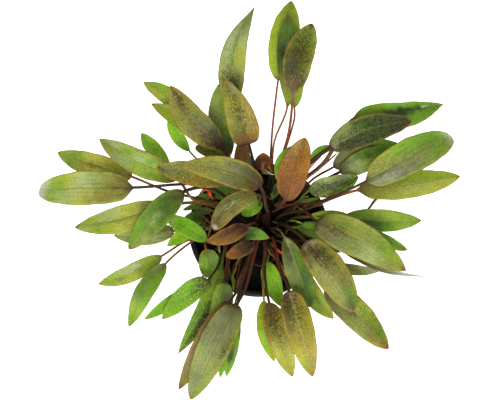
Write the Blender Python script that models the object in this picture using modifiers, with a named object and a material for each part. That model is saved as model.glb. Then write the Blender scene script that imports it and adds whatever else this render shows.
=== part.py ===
"""A cryptocoryne, an aquarium plant with many stalked leaves, in its black net pot.

The leaves are placed by eye: each one's blade base, middle and tip are given as they look from one
viewpoint above the pot, and its height is given apart, so a leaf can be raised or lowered without
moving in that view. Lengths in the tables are millimetres.
"""

import math

import bmesh
import bpy
import numpy as np

MM = 0.001

# Pot, measured from its foot.
POT_HEIGHT = 50.0
RIM_RADIUS = 27.5
RIM_DROP = 2.6
BODY_TOP_RADIUS = 26.2
BODY_FOOT_RADIUS = 15.5
WALL = 0.9
FLOOR = 1.2
FOOT_CHAMFER = 0.8
EDGE_ROUNDING = 0.4
LIP_CHAMFER = 0.3
TURN_STEPS = 36
MERGE_DISTANCE = 0.05
POT_BLACK = (0.012, 0.012, 0.013)
POT_ROUGHNESS = 0.45

# Slots in the pot's side wall. The first is turned from +X by SLOT_TURN of the way to the next.
SLOT_COUNT = 12
SLOT_TURN = 0.5
SLOT_WIDTH = 2.4
SLOT_FOOT = 9.0
SLOT_TOP = 38.0
CUTTER_DEPTH = 12.0

# Growing medium, whose mound is given by radii and heights.
FIT_GAP = 0.3
MEDIUM_CROWN = 46.2
MEDIUM_MOUND = ((12.0, 46.1), (20.0, 44.4))
MEDIUM_EDGE = 43.5
MEDIUM_BROWN = (0.035, 0.025, 0.018)
MEDIUM_ROUGHNESS = 0.95

# Short stem that the leaves spring from. Its knobs are shares of its radius and depths below its top,
# and it is full to STEM_SKIRT above its foot, which is drawn in to a share of its radius.
STEM_RADIUS = 2.1
STEM_TOP = 52.0
STEM_STEPS = 8
STEM_KNOBS = ((0.5, 0.4), (0.75, 1.6), (0.70, 2.6))
STEM_SKIRT = 2.0
STEM_FOOT_SHARE = 0.9
STEM_BROWN = (0.09, 0.035, 0.02)
STEM_ROUGHNESS = 0.7

# Viewpoint of the plan places: they are measured on a plane square to the line of sight, from a point
# PLAN_DROP below the rim's centre, and PLAN_MIDDLE is the point of that plane straight ahead of the eye.
VIEW_TILT = math.radians(18.0)
VIEW_DISTANCE = 480.0
PLAN_MIDDLE = (-3.3, 11.4)
PLAN_DROP = 0.5

# Where the leaf stalks rise: their feet's height, the centres of the two crowns and the radii of their
# rings of stalks.
ROOT_HEIGHT = 46.7
CROWNS = {"main": (3.0, 4.0), "west": (-13.5, -0.5)}
RINGS = {"main": (3.4, 5.4, 7.5, 9.6), "west": (1.4, 3.4, 5.4)}

# Leaf stalks: a stalk has made RISE_CLIMB of its climb when it is RISE_REACH of its way out, and at a
# bend the share climbed is the share of the way out to the power BEND_POWER, within BEND_RANGE.
RISE_REACH = 0.16
RISE_CLIMB = 0.42
BEND_POWER = 0.45
BEND_RANGE = (0.3, 0.95)
LINE_SAMPLES = 400
SPAN_SAMPLES = 24
KNOT_POWER = 0.5

# Leaf sections: rings of six points, flat hexagons across the blade and near round on the stalk.
RING_POINTS = 6
STALK_RINGS = 4
BLADE_SHARES = (0.03, 0.11, 0.25, 0.43, 0.62, 0.80, 0.94)
BLADE_THICKNESS = 0.8
CUP = 0.10
TIP_RADIUS = 0.3
TIP_SHARE = 0.9
TIP_THINNING = 0.7
HALFWAY = 0.5
STALK_DEPTH = 0.87
STALK_INNER = 0.5
BLADE_INNER = 0.45
LEVEL_ENOUGH = 0.2
LEAF_ROUGHNESS = 0.45

COLOURS = {
    "lime": (0.30, 0.42, 0.06),
    "green": (0.16, 0.32, 0.05),
    "deep": (0.07, 0.14, 0.04),
    "sage": (0.22, 0.29, 0.13),
    "olive": (0.24, 0.23, 0.07),
    "umber": (0.17, 0.12, 0.05),
    "rust": (0.34, 0.16, 0.05),
}

# Each leaf: crown, ring, turn of its root on the ring in degrees from the leaf's own direction,
# bend of the stalk or None, blade base, middle, tip, heights of those three, half widths left and
# right of the middle line, share of the length where it is widest, sharpness of the tip, radius of
# the stalk, colour.
LEAVES = {
    "leaf_n01": ("main", 2, 0, (5.6, 40), (7.8, 58.7), (10, 73.5), (13, 90), (78, 82, 76),
                 (5.8, 5.8), .42, .76, .42, "lime"),
    "leaf_n02": ("main", 1, 0, (6.3, 34.5), (11.4, 48), (11.1, 66), (11.5, 84.7), (83, 87.5, 83),
                 (3.9, 4.4), .50, .75, .40, "deep"),
    "leaf_n03": ("main", 0, 0, (12, 38), (13.8, 53.2), (16, 67.3), (21.2, 81), (90, 94, 90),
                 (6.0, 5.7), .45, .68, .52, "olive"),
    "leaf_n04": ("main", 3, 0, (14.3, 44), (14.2, 48), (14, 60), (14.5, 73), (66, 70, 66),
                 (4.1, 4.1), .42, .75, .40, "lime"),
    "leaf_n05": ("main", 3, -6, None, (-10.3, 50.5), (-9.5, 70.3), (-1.4, 88), (76, 82, 74),
                 (5.1, 5.3), .26, 1.15, .60, "sage"),
    "leaf_n06": ("main", 1, 0, (-1.9, 26.5), (-3.7, 33.3), (-7.5, 46), (-13.3, 59.2), (88, 92, 90),
                 (6.4, 5.7), .26, .78, .75, "olive"),
    "leaf_n07": ("main", 3, -12, None, (-11.5, 28.5), (-14.5, 43), (-15.5, 57.3), (70, 74, 72),
                 (5.2, 4.6), .42, .80, .55, "green"),
    "leaf_n08": ("main", 2, 0, None, (-14.5, 32), (-26.5, 43), (-34.8, 56.5), (82, 86, 82),
                 (6.1, 5.8), .40, .78, .70, "olive"),
    "leaf_n09": ("main", 3, 8, None, (-27.5, 45), (-36.3, 52.5), (-45.3, 58), (66, 68, 62),
                 (3.3, 3.7), .45, .80, .50, "green"),
    "leaf_n10": ("main", 3, -6, None, (-18, 32.5), (-31, 42.9), (-42.2, 49.4), (72, 74, 70),
                 (3.7, 4.8), .42, .80, .55, "green"),
    "leaf_n11": ("main", 3, 4, (-25, 28.3), (-27.3, 30.8), (-32, 37.5), (-34.8, 46), (62, 64, 62),
                 (3.1, 2.4), .45, .80, .40, "green"),
    "leaf_n12": ("main", 2, 63, (6.8, 9.4), (10.6, 11.5), (14, 23.5), (18.5, 36), (90, 95, 94),
                 (5.8, 6.0), .43, .70, .70, "rust"),
    "leaf_n13": ("main", 2, 40, None, (9.4, 17.6), (10.3, 25.7), (13.6, 32.8), (82, 85, 85),
                 (3.7, 2.6), .42, .75, .45, "green"),
    "leaf_w12": ("main", 3, 0, None, (-34.8, 23.5), (-41.2, 31.2), (-46.2, 37.8), (61, 63, 59),
                 (3.2, 3.2), .42, .75, .45, "green"),
    "leaf_w13": ("main", 2, 0, (-25.7, 11.6), (-31.8, 19.5), (-48.2, 26.8), (-62.8, 35.5),
                 (75, 78, 71), (5.7, 5.1), .38, .80, .60, "lime"),
    "leaf_w14": ("main", 1, 0, None, (-13, 18.8), (-27, 21.8), (-40.2, 24.4), (84, 86, 83),
                 (5.2, 5.2), .42, .72, .70, "olive"),
    "leaf_w15": ("main", 0, 74, (2.9, 9), (1, 16.3), (-14, 23.2), (-30.7, 25.2), (93, 98, 95),
                 (6.0, 5.9), .38, .75, .90, "olive"),
    "leaf_w20": ("west", 1, 0, None, (-20.2, -4), (-27.5, 0), (-36.5, 5), (70, 73, 70),
                 (3.6, 3.7), .45, .70, .50, "green"),
    "leaf_w21": ("main", 1, 22, (-19.5, 16.3), (-29.5, 14.6), (-41.1, 4.2), (-51.2, -8), (83, 85, 77),
                 (5.5, 5.3), .43, .68, .75, "sage"),
    "leaf_w22": ("west", 0, 25, None, (-25, 0.5), (-30.8, -3), (-36, -6.8), (64, 66, 64),
                 (2.8, 2.8), .42, .75, .40, "lime"),
    "leaf_w23": ("main", 1, 6, (-18.5, 16.7), (-49.5, 16.3), (-68, 16.1), (-86.5, 15.4), (85, 86, 77),
                 (7.2, 6.9), .45, .40, .60, "lime"),
    "leaf_w24": ("main", 3, 0, (-36, 15), (-50, 20.6), (-65.5, 25.3), (-79.2, 30.2), (68, 70, 64),
                 (5.3, 4.9), .40, .72, .55, "green"),
    "leaf_w25": ("main", 2, 0, (-24, 10.3), (-36.5, 9), (-54.3, 3.9), (-72.5, 0.6), (74, 76, 68),
                 (6.0, 5.3), .42, .80, .65, "lime"),
    "leaf_w26": ("west", 2, -10, None, (-33.4, -0.8), (-45, -3.1), (-57, -2.6), (60, 61, 58),
                 (3.8, 4.3), .38, .75, .45, "sage"),
    "leaf_c16": ("main", 0, 0, None, (-0.8, 13.4), (-11.2, 8.6), (-18, -0.2), (87, 90, 85),
                 (4.2, 4.3), .50, .50, .60, "olive"),
    "leaf_c17": ("main", 1, -6, None, (-4.6, 1.2), (-11.8, -2.6), (-20.4, -5), (79, 81, 77),
                 (3.5, 3.4), .42, .75, .55, "rust"),
    "leaf_c18": ("west", 0, 40, None, (-9, -3), (-2.5, -1.8), (4.3, -3.6), (71, 73, 73),
                 (2.8, 2.8), .42, .80, .45, "green"),
    "leaf_c19": ("main", 2, -29, None, (-2.2, -5.6), (-7, -8.4), (-12.7, -10.8), (74, 76, 73),
                 (3.0, 3.0), .45, .65, .45, "umber"),
    "leaf_s27": ("west", 2, 0, (-28, -4.6), (-38.3, -10.8), (-50.1, -17.5), (-63, -21.8),
                 (64, 66, 59), (3.8, 3.7), .42, .75, .45, "lime"),
    "leaf_s28": ("west", 2, -24, (-26.5, -5.2), (-36.7, -13.8), (-45.3, -25.3), (-51.2, -38.7),
                 (69, 71, 63), (4.0, 3.8), .42, .80, .45, "green"),
    "leaf_s29": ("west", 2, 0, (-20.8, -5.5), (-20.6, -8), (-19.4, -13.3), (-20.6, -19.3),
                 (58, 56.5, 54), (4.2, 4.2), .47, .60, .45, "green"),
    "leaf_s30": ("west", 2, 6, None, (-24, -21.5), (-35.5, -29.6), (-45.1, -35.8), (54, 54, 49),
                 (2.7, 2.7), .42, .80, .40, "green"),
    "leaf_s31": ("west", 1, -49, (-15.2, -12), (-19.8, -20), (-28.4, -26.6), (-38, -35.5),
                 (65, 65, 59), (4.1, 4.7), .34, .70, .45, "green"),
    "leaf_s32": ("west", 1, 15, None, (-14.8, -15.8), (-21.7, -33), (-31.6, -49.2),
                 (58, 58, 51), (4.0, 3.6), .40, .80, .45, "green"),
    "leaf_s33": ("west", 0, 0, (-12.2, -14), (-13.6, -21), (-15.9, -34.5), (-21.8, -47.5),
                 (68, 69, 62), (4.8, 3.8), .35, .80, .50, "sage"),
    "leaf_s34": ("main", 0, 0, (-5, -23), (-8.5, -30), (-17.8, -48.6), (-26.8, -67.3), (84, 86, 78),
                 (5.9, 7.2), .40, .66, .80, "sage"),
    "leaf_s35": ("main", 1, 0, (-8, -23.5), (-11.3, -28.8), (-21.6, -46.1), (-31.5, -63.4),
                 (77, 79, 71), (5.2, 4.6), .36, .75, .75, "umber"),
    "leaf_s36": ("main", 2, 0, (-6.5, -22), (-8.6, -32), (-10.6, -46), (-12.6, -58.2), (70, 71, 64),
                 (3.0, 2.8), .45, .75, .50, "green"),
    "leaf_s38": ("main", 1, 0, (2.6, -18), (4.3, -29.3), (8.3, -44.3), (13.5, -58.3), (76, 78, 70),
                 (5.1, 4.5), .40, .70, .70, "olive"),
    "leaf_s39": ("main", 2, 0, (8.6, -15), (12.2, -24.6), (16.8, -41.3), (21.5, -58.3),
                 (83, 86, 78), (5.8, 5.8), .38, .70, .75, "olive"),
    "leaf_s40": ("main", 2, 0, (1.7, -18), (2.2, -28.5), (2.6, -41), (6.3, -52.3), (69, 70, 63),
                 (3.2, 3.0), .40, .75, .65, "lime"),
    "leaf_s41": ("main", 3, 14, None, (3.8, -13), (5.9, -21.5), (8.8, -30.5), (59, 60, 58),
                 (3.5, 4.0), .42, .75, .45, "green"),
    "leaf_s42": ("main", 1, 0, None, (10.3, -3.2), (15.6, -16.5), (20.5, -30.9), (74, 77, 72),
                 (4.9, 5.1), .56, .62, .60, "sage"),
    "leaf_e43": ("main", 1, 10, None, (18.8, -5), (29.3, -17.9), (38, -32), (85, 88, 84),
                 (6.6, 7.0), .44, .52, .70, "olive"),
    "leaf_e44": ("main", 2, 0, None, (26.8, -22.6), (39.4, -34.5), (51.4, -47.4), (76, 79, 70),
                 (6.0, 6.0), .42, .72, .65, "olive"),
    "leaf_e45": ("main", 3, 0, None, (17.5, -17), (22.3, -26.6), (29.7, -35.4), (64, 65, 61),
                 (3.4, 4.2), .45, .75, .45, "lime"),
    "leaf_e46": ("main", 0, 12, (18.5, 6.6), (23.2, 3), (41.3, -5.4), (58.3, -16.4), (88, 92, 85),
                 (7.5, 7.4), .37, .74, .75, "sage"),
    "leaf_e47": ("main", 2, 0, None, (33.8, 4.6), (48.5, 3.2), (64.3, 3.4), (73, 75, 69),
                 (4.6, 4.6), .44, .75, .50, "green"),
    "leaf_e48": ("main", 3, 0, None, (42.5, -0.8), (51, -4.9), (58.9, -8.4), (65, 66, 62),
                 (2.3, 2.7), .42, .75, .45, "green"),
    "leaf_e49": ("main", 3, -12, (22, 9), (38.8, 15.2), (59, 17.4), (79.6, 20.8), (75, 78, 71),
                 (5.8, 6.0), .39, .72, .60, "lime"),
    "leaf_e50": ("main", 1, 0, (24, 10.7), (42.2, 18.6), (58.4, 27.6), (76.3, 36.3), (83, 86, 79),
                 (7.4, 6.9), .48, .42, .70, "lime"),
    "leaf_e51": ("main", 3, -12, None, (20.3, 15.2), (29.5, 16.9), (39.4, 20.6), (71.6, 73.9, 72.8),
                 (4.1, 4.5), .42, .64, .45, "sage"),
    "leaf_e52": ("main", 3, 0, (22, 20), (29.7, 24.4), (40, 30.3), (54.8, 33.9), (65, 67, 64),
                 (4.5, 4.5), .40, .75, .45, "deep"),
    "leaf_e53": ("main", 0, 0, (22, 27.5), (28.5, 32), (43.6, 39.2), (60.5, 42.6), (85, 88, 84),
                 (6.1, 6.2), .41, .70, .90, "umber"),
    "leaf_e54": ("main", 1, 5, (25.2, 25.4), (38.3, 43.8), (55, 45), (73, 49.3), (76, 79, 73),
                 (5.1, 6.5), .40, .98, .90, "green"),
    "leaf_e55": ("main", 2, 15, (27, 19.8), (32, 22.4), (40.3, 26.4), (50, 32.5), (67.5, 69, 67),
                 (4.1, 4.8), .44, .75, .60, "green"),
    "leaf_e65": ("main", 3, 0, None, (15.5, 0.6), (23, -1), (32.2, -9.5), (63, 64, 61),
                 (3.5, 3.0), .42, .80, .45, "deep"),
}

RIGHT = np.array([1.0, 0.0, 0.0])
UP = np.array([0.0, math.cos(VIEW_TILT), math.sin(VIEW_TILT)])
AHEAD = np.array([0.0, math.sin(VIEW_TILT), -math.cos(VIEW_TILT)])
PLAN_ORIGIN = np.array([0.0, 0.0, POT_HEIGHT]) - UP * PLAN_DROP
EYE = PLAN_ORIGIN + RIGHT * PLAN_MIDDLE[0] + UP * PLAN_MIDDLE[1] - AHEAD * VIEW_DISTANCE


def under_view(x, y, height):
    """Point at a height that looks, from the viewpoint, as if it were at x, y on the plan."""
    seen = PLAN_ORIGIN + RIGHT * x + UP * y
    ray = seen - EYE
    return EYE + ray * (height - EYE[2]) / ray[2]


def smooth_line(points, shares):
    """Curve through the points, by the centripetal Catmull and Rom rule, at shares of its length."""
    points = np.vstack([2 * points[0] - points[1], points, 2 * points[-1] - points[-2]])
    samples = []
    for first in range(len(points) - 3):
        p = points[first:first + 4]
        knots = np.concatenate([[0], np.cumsum(np.linalg.norm(np.diff(p, axis=0), axis=1) ** KNOT_POWER)])
        t = np.linspace(knots[1], knots[2], SPAN_SAMPLES, endpoint=False)[:, None]
        if first == len(points) - 4:
            t = np.append(t, [[knots[2]]], axis=0)
        a = [mix(p[i], p[i + 1], t, knots[i], knots[i + 1]) for i in range(3)]
        b = [mix(a[i], a[i + 1], t, knots[i], knots[i + 2]) for i in range(2)]
        samples.append(mix(b[0], b[1], t, knots[1], knots[2]))
    return resample(np.vstack(samples), shares)


def mix(start, end, t, t_start, t_end):
    """Straight blend of two points between two knots."""
    return start + (end - start) * (t - t_start) / (t_end - t_start)


def blade_width(share, widest, sharpness):
    """Half width of a blade as a share of its greatest half width, nought at base and tip."""
    rise = sharpness * widest / (1 - widest)
    peak = widest ** rise * (1 - widest) ** sharpness
    return share ** rise * (1 - share) ** sharpness / peak


def root_place(crown, ring, turn, base):
    """Foot of a stalk: on its ring around the crown, on the side that its blade lies."""
    centre = np.array(CROWNS[crown])
    way = math.atan2(base[1] - centre[1], base[0] - centre[0]) + math.radians(turn)
    radius = RINGS[crown][ring]
    return np.array([centre[0] + radius * math.cos(way), centre[1] + radius * math.sin(way), ROOT_HEIGHT])


def leaf_lines(crown, ring, turn, bend, base, middle, tip, heights):
    """Middle line of the stalk, then of the blade, as two arrays of points."""
    blade = np.array([under_view(*place, height) for place, height in zip((base, middle, tip), heights)])
    root = root_place(crown, ring, turn, blade[0])
    climb = blade[0][2] - ROOT_HEIGHT
    reach = np.linalg.norm(blade[0][:2] - root[:2])
    rise = root + (blade[0] - root) * RISE_REACH
    rise[2] = ROOT_HEIGHT + climb * RISE_CLIMB
    points = [root, rise]
    if bend is not None:
        share = np.clip(np.linalg.norm(np.array(bend) - root[:2]) / reach, *BEND_RANGE)
        points.append(under_view(*bend, ROOT_HEIGHT + climb * share ** BEND_POWER))
    stalk_end = len(points)
    whole = np.vstack([points, blade])
    dense = smooth_line(whole, np.linspace(0, 1, LINE_SAMPLES))
    split = np.argmin(np.linalg.norm(dense - whole[stalk_end], axis=1))
    return dense[:split + 1], dense[split:]


def resample(line, shares):
    """Points of a polyline at shares of its length."""
    run = np.concatenate([[0], np.cumsum(np.linalg.norm(np.diff(line, axis=0), axis=1))])
    places = np.asarray(shares) * run[-1]
    return np.stack([np.interp(places, run, line[:, axis]) for axis in range(3)], axis=1)


def leaf_rings(crown, ring, turn, bend, base, middle, tip, heights, halves, widest, sharpness, stalk):
    """Rings of six points from the foot of the stalk, of that radius, to the tip of the blade."""
    stem_line, blade = leaf_lines(crown, ring, turn, bend, base, middle, tip, heights)
    stalk_points = resample(stem_line, np.linspace(0, 1, STALK_RINGS, endpoint=False))
    blade_points = resample(blade, (0.0,) + BLADE_SHARES + (1.0,))
    centres = np.vstack([stalk_points, blade_points])
    ways = np.gradient(centres, axis=0)
    ways /= np.linalg.norm(ways, axis=1)[:, None]
    shares = np.concatenate([np.zeros(STALK_RINGS), (0.0,) + BLADE_SHARES + (1.0,)])
    rings = []
    for centre, way, share in zip(centres, ways, shares):
        side = np.cross([0.0, 0.0, 1.0], way)
        if np.linalg.norm(side) < LEVEL_ENOUGH:
            side = np.cross([0.0, 0.0, 1.0], blade[-1] - blade[0])
        side /= np.linalg.norm(side)
        rise = np.cross(way, side)
        closeness = (centre - EYE) @ AHEAD / VIEW_DISTANCE
        width = blade_width(share, widest, sharpness) * closeness
        spread = [max(half * width, stalk if share < HALFWAY else TIP_RADIUS) for half in halves]
        flat = min(1.0, share / BLADE_SHARES[1])
        half_thickness = stalk * STALK_DEPTH * (1 - flat) + BLADE_THICKNESS / 2 * flat
        if share > TIP_SHARE:
            half_thickness *= TIP_THINNING
        edge = CUP * max(spread) * flat
        inner = STALK_INNER * (1 - flat) + BLADE_INNER * flat
        corners = [
            (spread[0], edge),
            (spread[0] * inner, half_thickness),
            (-spread[1] * inner, half_thickness),
            (-spread[1], edge),
            (-spread[1] * inner, -half_thickness),
            (spread[0] * inner, -half_thickness),
        ]
        rings.append([centre + side * across + rise * above for across, above in corners])
    return np.array(rings)


def loft(name, rings, colour, collection):
    """Closed solid through the rings, with its origin at the middle of the first."""
    origin = rings[0].mean(axis=0)
    local = (rings - origin) * MM
    mesh = bpy.data.meshes.new(name)
    build = bmesh.new()
    rows = [[build.verts.new(corner) for corner in ring] for ring in local]
    for lower, upper in zip(rows, rows[1:]):
        for i in range(RING_POINTS):
            j = (i + 1) % RING_POINTS
            build.faces.new((lower[i], lower[j], upper[j], upper[i]))
    build.faces.new(rows[0][::-1])
    build.faces.new(rows[-1])
    bmesh.ops.recalc_face_normals(build, faces=build.faces)
    for face in build.faces:
        face.smooth = len(face.verts) == 4
    build.to_mesh(mesh)
    build.free()
    piece = bpy.data.objects.new(name, mesh)
    piece.location = origin * MM
    collection.objects.link(piece)
    mesh.materials.append(material(name, colour, LEAF_ROUGHNESS))
    return piece


def material(name, colour, roughness):
    """Principled material of one piece."""
    made = bpy.data.materials.new(name)
    made.use_nodes = True
    shader = made.node_tree.nodes["Principled BSDF"]
    shader.inputs["Base Color"].default_value = (*colour, 1.0)
    shader.inputs["Roughness"].default_value = roughness
    shader.inputs["Metallic"].default_value = 0.0
    made.diffuse_color = (*colour, 1.0)
    return made


def turned(name, outline, closed, colour, roughness, collection):
    """Solid of revolution about Z from (radius, height) pairs, top to bottom on the outer side."""
    mesh = bpy.data.meshes.new(name)
    edges = [(i, i + 1) for i in range(len(outline) - 1)]
    if closed:
        edges.append((len(outline) - 1, 0))
    mesh.from_pydata([(radius * MM, 0.0, height * MM) for radius, height in outline], edges, [])
    piece = bpy.data.objects.new(name, mesh)
    collection.objects.link(piece)
    turn = piece.modifiers.new("turn", "SCREW")
    turn.axis = "Z"
    turn.steps = TURN_STEPS
    turn.render_steps = TURN_STEPS
    turn.use_merge_vertices = True
    turn.merge_threshold = MERGE_DISTANCE * MM
    turn.use_normal_calculate = True
    turn.use_smooth_shade = True
    mesh.materials.append(material(name, colour, roughness))
    return piece


def body_radius(height):
    """Outer radius of the pot's tapered body at a height."""
    top = POT_HEIGHT - RIM_DROP
    return BODY_FOOT_RADIUS + (BODY_TOP_RADIUS - BODY_FOOT_RADIUS) * height / top


def build_pot(collection, cutters):
    """Tapered pot with a rim, open at the top, and a row of slots in its side."""
    body_top = POT_HEIGHT - RIM_DROP
    outline = [
        (RIM_RADIUS - EDGE_ROUNDING, POT_HEIGHT),
        (RIM_RADIUS, POT_HEIGHT - EDGE_ROUNDING),
        (RIM_RADIUS, body_top + LIP_CHAMFER),
        (RIM_RADIUS - LIP_CHAMFER, body_top),
        (BODY_TOP_RADIUS, body_top),
        (body_radius(FOOT_CHAMFER), FOOT_CHAMFER),
        (BODY_FOOT_RADIUS - FOOT_CHAMFER, 0.0),
        (0.0, 0.0),
        (0.0, FLOOR),
        (body_radius(FLOOR) - WALL, FLOOR),
        (body_radius(body_top) - WALL, body_top),
        (body_radius(body_top) - WALL + LIP_CHAMFER, POT_HEIGHT),
    ]
    pot = turned("pot", outline, True, POT_BLACK, POT_ROUGHNESS, collection)
    slots = slot_cutter(cutters)
    cut = pot.modifiers.new("slots", "BOOLEAN")
    cut.operation = "DIFFERENCE"
    cut.solver = "EXACT"
    cut.object = slots
    return pot


def slot_cutter(cutters):
    """One object holding an upright box for every slot."""
    mesh = bpy.data.meshes.new("pot_slots")
    build = bmesh.new()
    middle = (SLOT_FOOT + SLOT_TOP) / 2
    reach = body_radius(middle)
    for count in range(SLOT_COUNT):
        way = 2 * math.pi * (count + SLOT_TURN) / SLOT_COUNT
        box = bmesh.ops.create_cube(build, size=1.0)["verts"]
        for vert in box:
            along = (reach + vert.co.x * CUTTER_DEPTH) * MM
            across = vert.co.y * SLOT_WIDTH * MM
            up = (middle + vert.co.z * (SLOT_TOP - SLOT_FOOT)) * MM
            vert.co = (
                along * math.cos(way) - across * math.sin(way),
                along * math.sin(way) + across * math.cos(way),
                up,
            )
    build.to_mesh(mesh)
    build.free()
    cutter = bpy.data.objects.new("pot_slots", mesh)
    cutter.hide_render = True
    cutter.display_type = "WIRE"
    cutters.objects.link(cutter)
    return cutter


def build_medium(collection):
    """Dark growing medium that fills the pot, a little mounded under the stalks."""
    foot = FLOOR + FIT_GAP
    inner = WALL + FIT_GAP
    outline = [
        (0.0, MEDIUM_CROWN),
        *MEDIUM_MOUND,
        (body_radius(MEDIUM_EDGE) - inner, MEDIUM_EDGE),
        (body_radius(foot) - inner, foot),
        (0.0, foot),
    ]
    return turned("growing_medium", outline, False, MEDIUM_BROWN, MEDIUM_ROUGHNESS, collection)


def build_stem(collection):
    """Short knobbly stem at the middle of the main crown."""
    foot = MEDIUM_CROWN + FIT_GAP
    outline = [(0.0, STEM_TOP)]
    outline += [(STEM_RADIUS * share, STEM_TOP - depth) for share, depth in STEM_KNOBS]
    outline += [(STEM_RADIUS, foot + STEM_SKIRT), (STEM_RADIUS * STEM_FOOT_SHARE, foot), (0.0, foot)]
    stem = turned("stem", outline, False, STEM_BROWN, STEM_ROUGHNESS, collection)
    stem.modifiers["turn"].steps = STEM_STEPS
    stem.modifiers["turn"].render_steps = STEM_STEPS
    stem.location = (CROWNS["main"][0] * MM, CROWNS["main"][1] * MM, 0.0)
    return stem


def main():
    for old in list(bpy.data.objects):
        bpy.data.objects.remove(old)
    plant = bpy.data.collections.new("cryptocoryne")
    cutters = bpy.data.collections.new("cutters")
    bpy.context.scene.collection.children.link(plant)
    bpy.context.scene.collection.children.link(cutters)
    build_pot(plant, cutters)
    build_medium(plant)
    build_stem(plant)
    for name, row in LEAVES.items():
        loft(name, leaf_rings(*row[:-1]), COLOURS[row[-1]], plant)


main()
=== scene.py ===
import math

import bpy
import numpy as np
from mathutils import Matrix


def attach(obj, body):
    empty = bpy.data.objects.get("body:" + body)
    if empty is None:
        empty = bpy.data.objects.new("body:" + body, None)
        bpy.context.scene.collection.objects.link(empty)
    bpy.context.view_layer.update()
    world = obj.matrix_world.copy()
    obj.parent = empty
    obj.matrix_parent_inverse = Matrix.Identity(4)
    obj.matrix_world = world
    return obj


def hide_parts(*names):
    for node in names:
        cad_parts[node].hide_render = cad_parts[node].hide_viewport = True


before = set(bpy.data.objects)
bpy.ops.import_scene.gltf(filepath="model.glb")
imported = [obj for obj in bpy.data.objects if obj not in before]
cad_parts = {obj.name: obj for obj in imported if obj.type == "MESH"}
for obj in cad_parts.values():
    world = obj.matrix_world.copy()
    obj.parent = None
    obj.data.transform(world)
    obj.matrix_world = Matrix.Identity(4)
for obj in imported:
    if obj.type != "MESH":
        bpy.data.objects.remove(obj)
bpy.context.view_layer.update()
mm = 0.001
fullTurn = 2 * math.pi
upright = np.array([0.0, 0.0, 1.0])

# The view that the leaves were measured in: its tilt from straight down, its distance, and the point of
# the measuring plane that lies straight ahead of it. The plane passes just below the rim's centre.
view = {
    "tilt": math.radians(18.0), "distance": 480.0, "middle": (-3.3, 11.4), "drop": 0.5, "rimHeight": 50.0,
    "mmPerPixel": 0.3945, "imageWidth": 500, "sensor": 36.0, "nearest": 10.0,
}
right = np.array([1.0, 0.0, 0.0])
up = np.array([0.0, math.cos(view["tilt"]), math.sin(view["tilt"])])
ahead = np.array([0.0, math.sin(view["tilt"]), -math.cos(view["tilt"])])
planOrigin = np.array([0.0, 0.0, view["rimHeight"]]) - up * view["drop"]
eye = planOrigin + right * view["middle"][0] + up * view["middle"][1] - ahead * view["distance"]

# How a stalk rises: it has made riseClimb of its climb at riseReach of its way out, and at a bend the
# share climbed is the share of the way out to the power bendPower.
growth = {
    "crowns": {"main": (3.0, 4.0), "west": (-13.5, -0.5)},
    "rings": {"main": (3.4, 5.4, 7.5, 9.6), "west": (1.4, 3.4, 5.4)},
    "rootHeight": 46.7, "riseReach": 0.16, "riseClimb": 0.42, "bendPower": 0.45, "bendRange": (0.3, 0.95),
    "lineSamples": 400, "spanSamples": 24,
}

# How a leaf's surface is made: its rings and columns, its stalk, the outline and the section of its
# blade, and how the bands of its paint drift along it and sway across it. A wave of these bands is its
# rate along in millimetres, its rate across, and which of the leaf's random phases it takes.
blade = {
    "stalkRings": 22, "bladeRings": 50, "columns": 20, "crowding": 0.55,
    "stalkScale": 0.82, "stalkTaper": 0.85, "stalkLeast": 0.05, "sheath": 0.35, "sheathReach": 0.06,
    "tipFrom": 0.9, "tipTaper": 0.7, "neckFrom": -0.02, "neckPower": 0.5,
    "flatFrom": 0.13, "thickness": 0.24, "bluntness": 6, "thinShare": 0.35, "fullWidth": 3.0,
    "cupPower": 1.8, "wave": 0.035, "waves": 3.2, "edgeRipple": 0.012, "rippleRate": 0.9,
    "twist": 0.06, "twistFrom": 0.3, "groove": 0.16, "grooveWidth": 0.55,
    "ribDepth": 0.9, "ribWidth": 0.7, "ribLeast": 0.1, "ribFade": 0.75,
    "veinsPerHalf": 4, "veinDepth": 0.05, "veinWidth": 0.25, "veinFrom": 0.12,
    "seedStep": 50.0, "halfBlend": 0.12, "touchEdge": 1.6, "tipBrown": (0.94, 0.98), "stalkEnd": 0.07,
    "drift": 0.022, "driftWaves": ((1.1, 3.7, 4), (2.3, -7.1, 5)),
    "sway": 0.07, "swayWaves": ((1.6, -2.9, 5), (0.7, 8.3, 4)),
}
strand = {
    "rings": 24, "columns": 12, "endSharpness": 10, "endLeast": 0.04, "lump": 0.08, "lumpRate": (9, 20),
    "lumpStart": (0, 6), "leastLevel": 0.2, "paintLength": 8.0, "paintStart": (0, 99),
}

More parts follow.
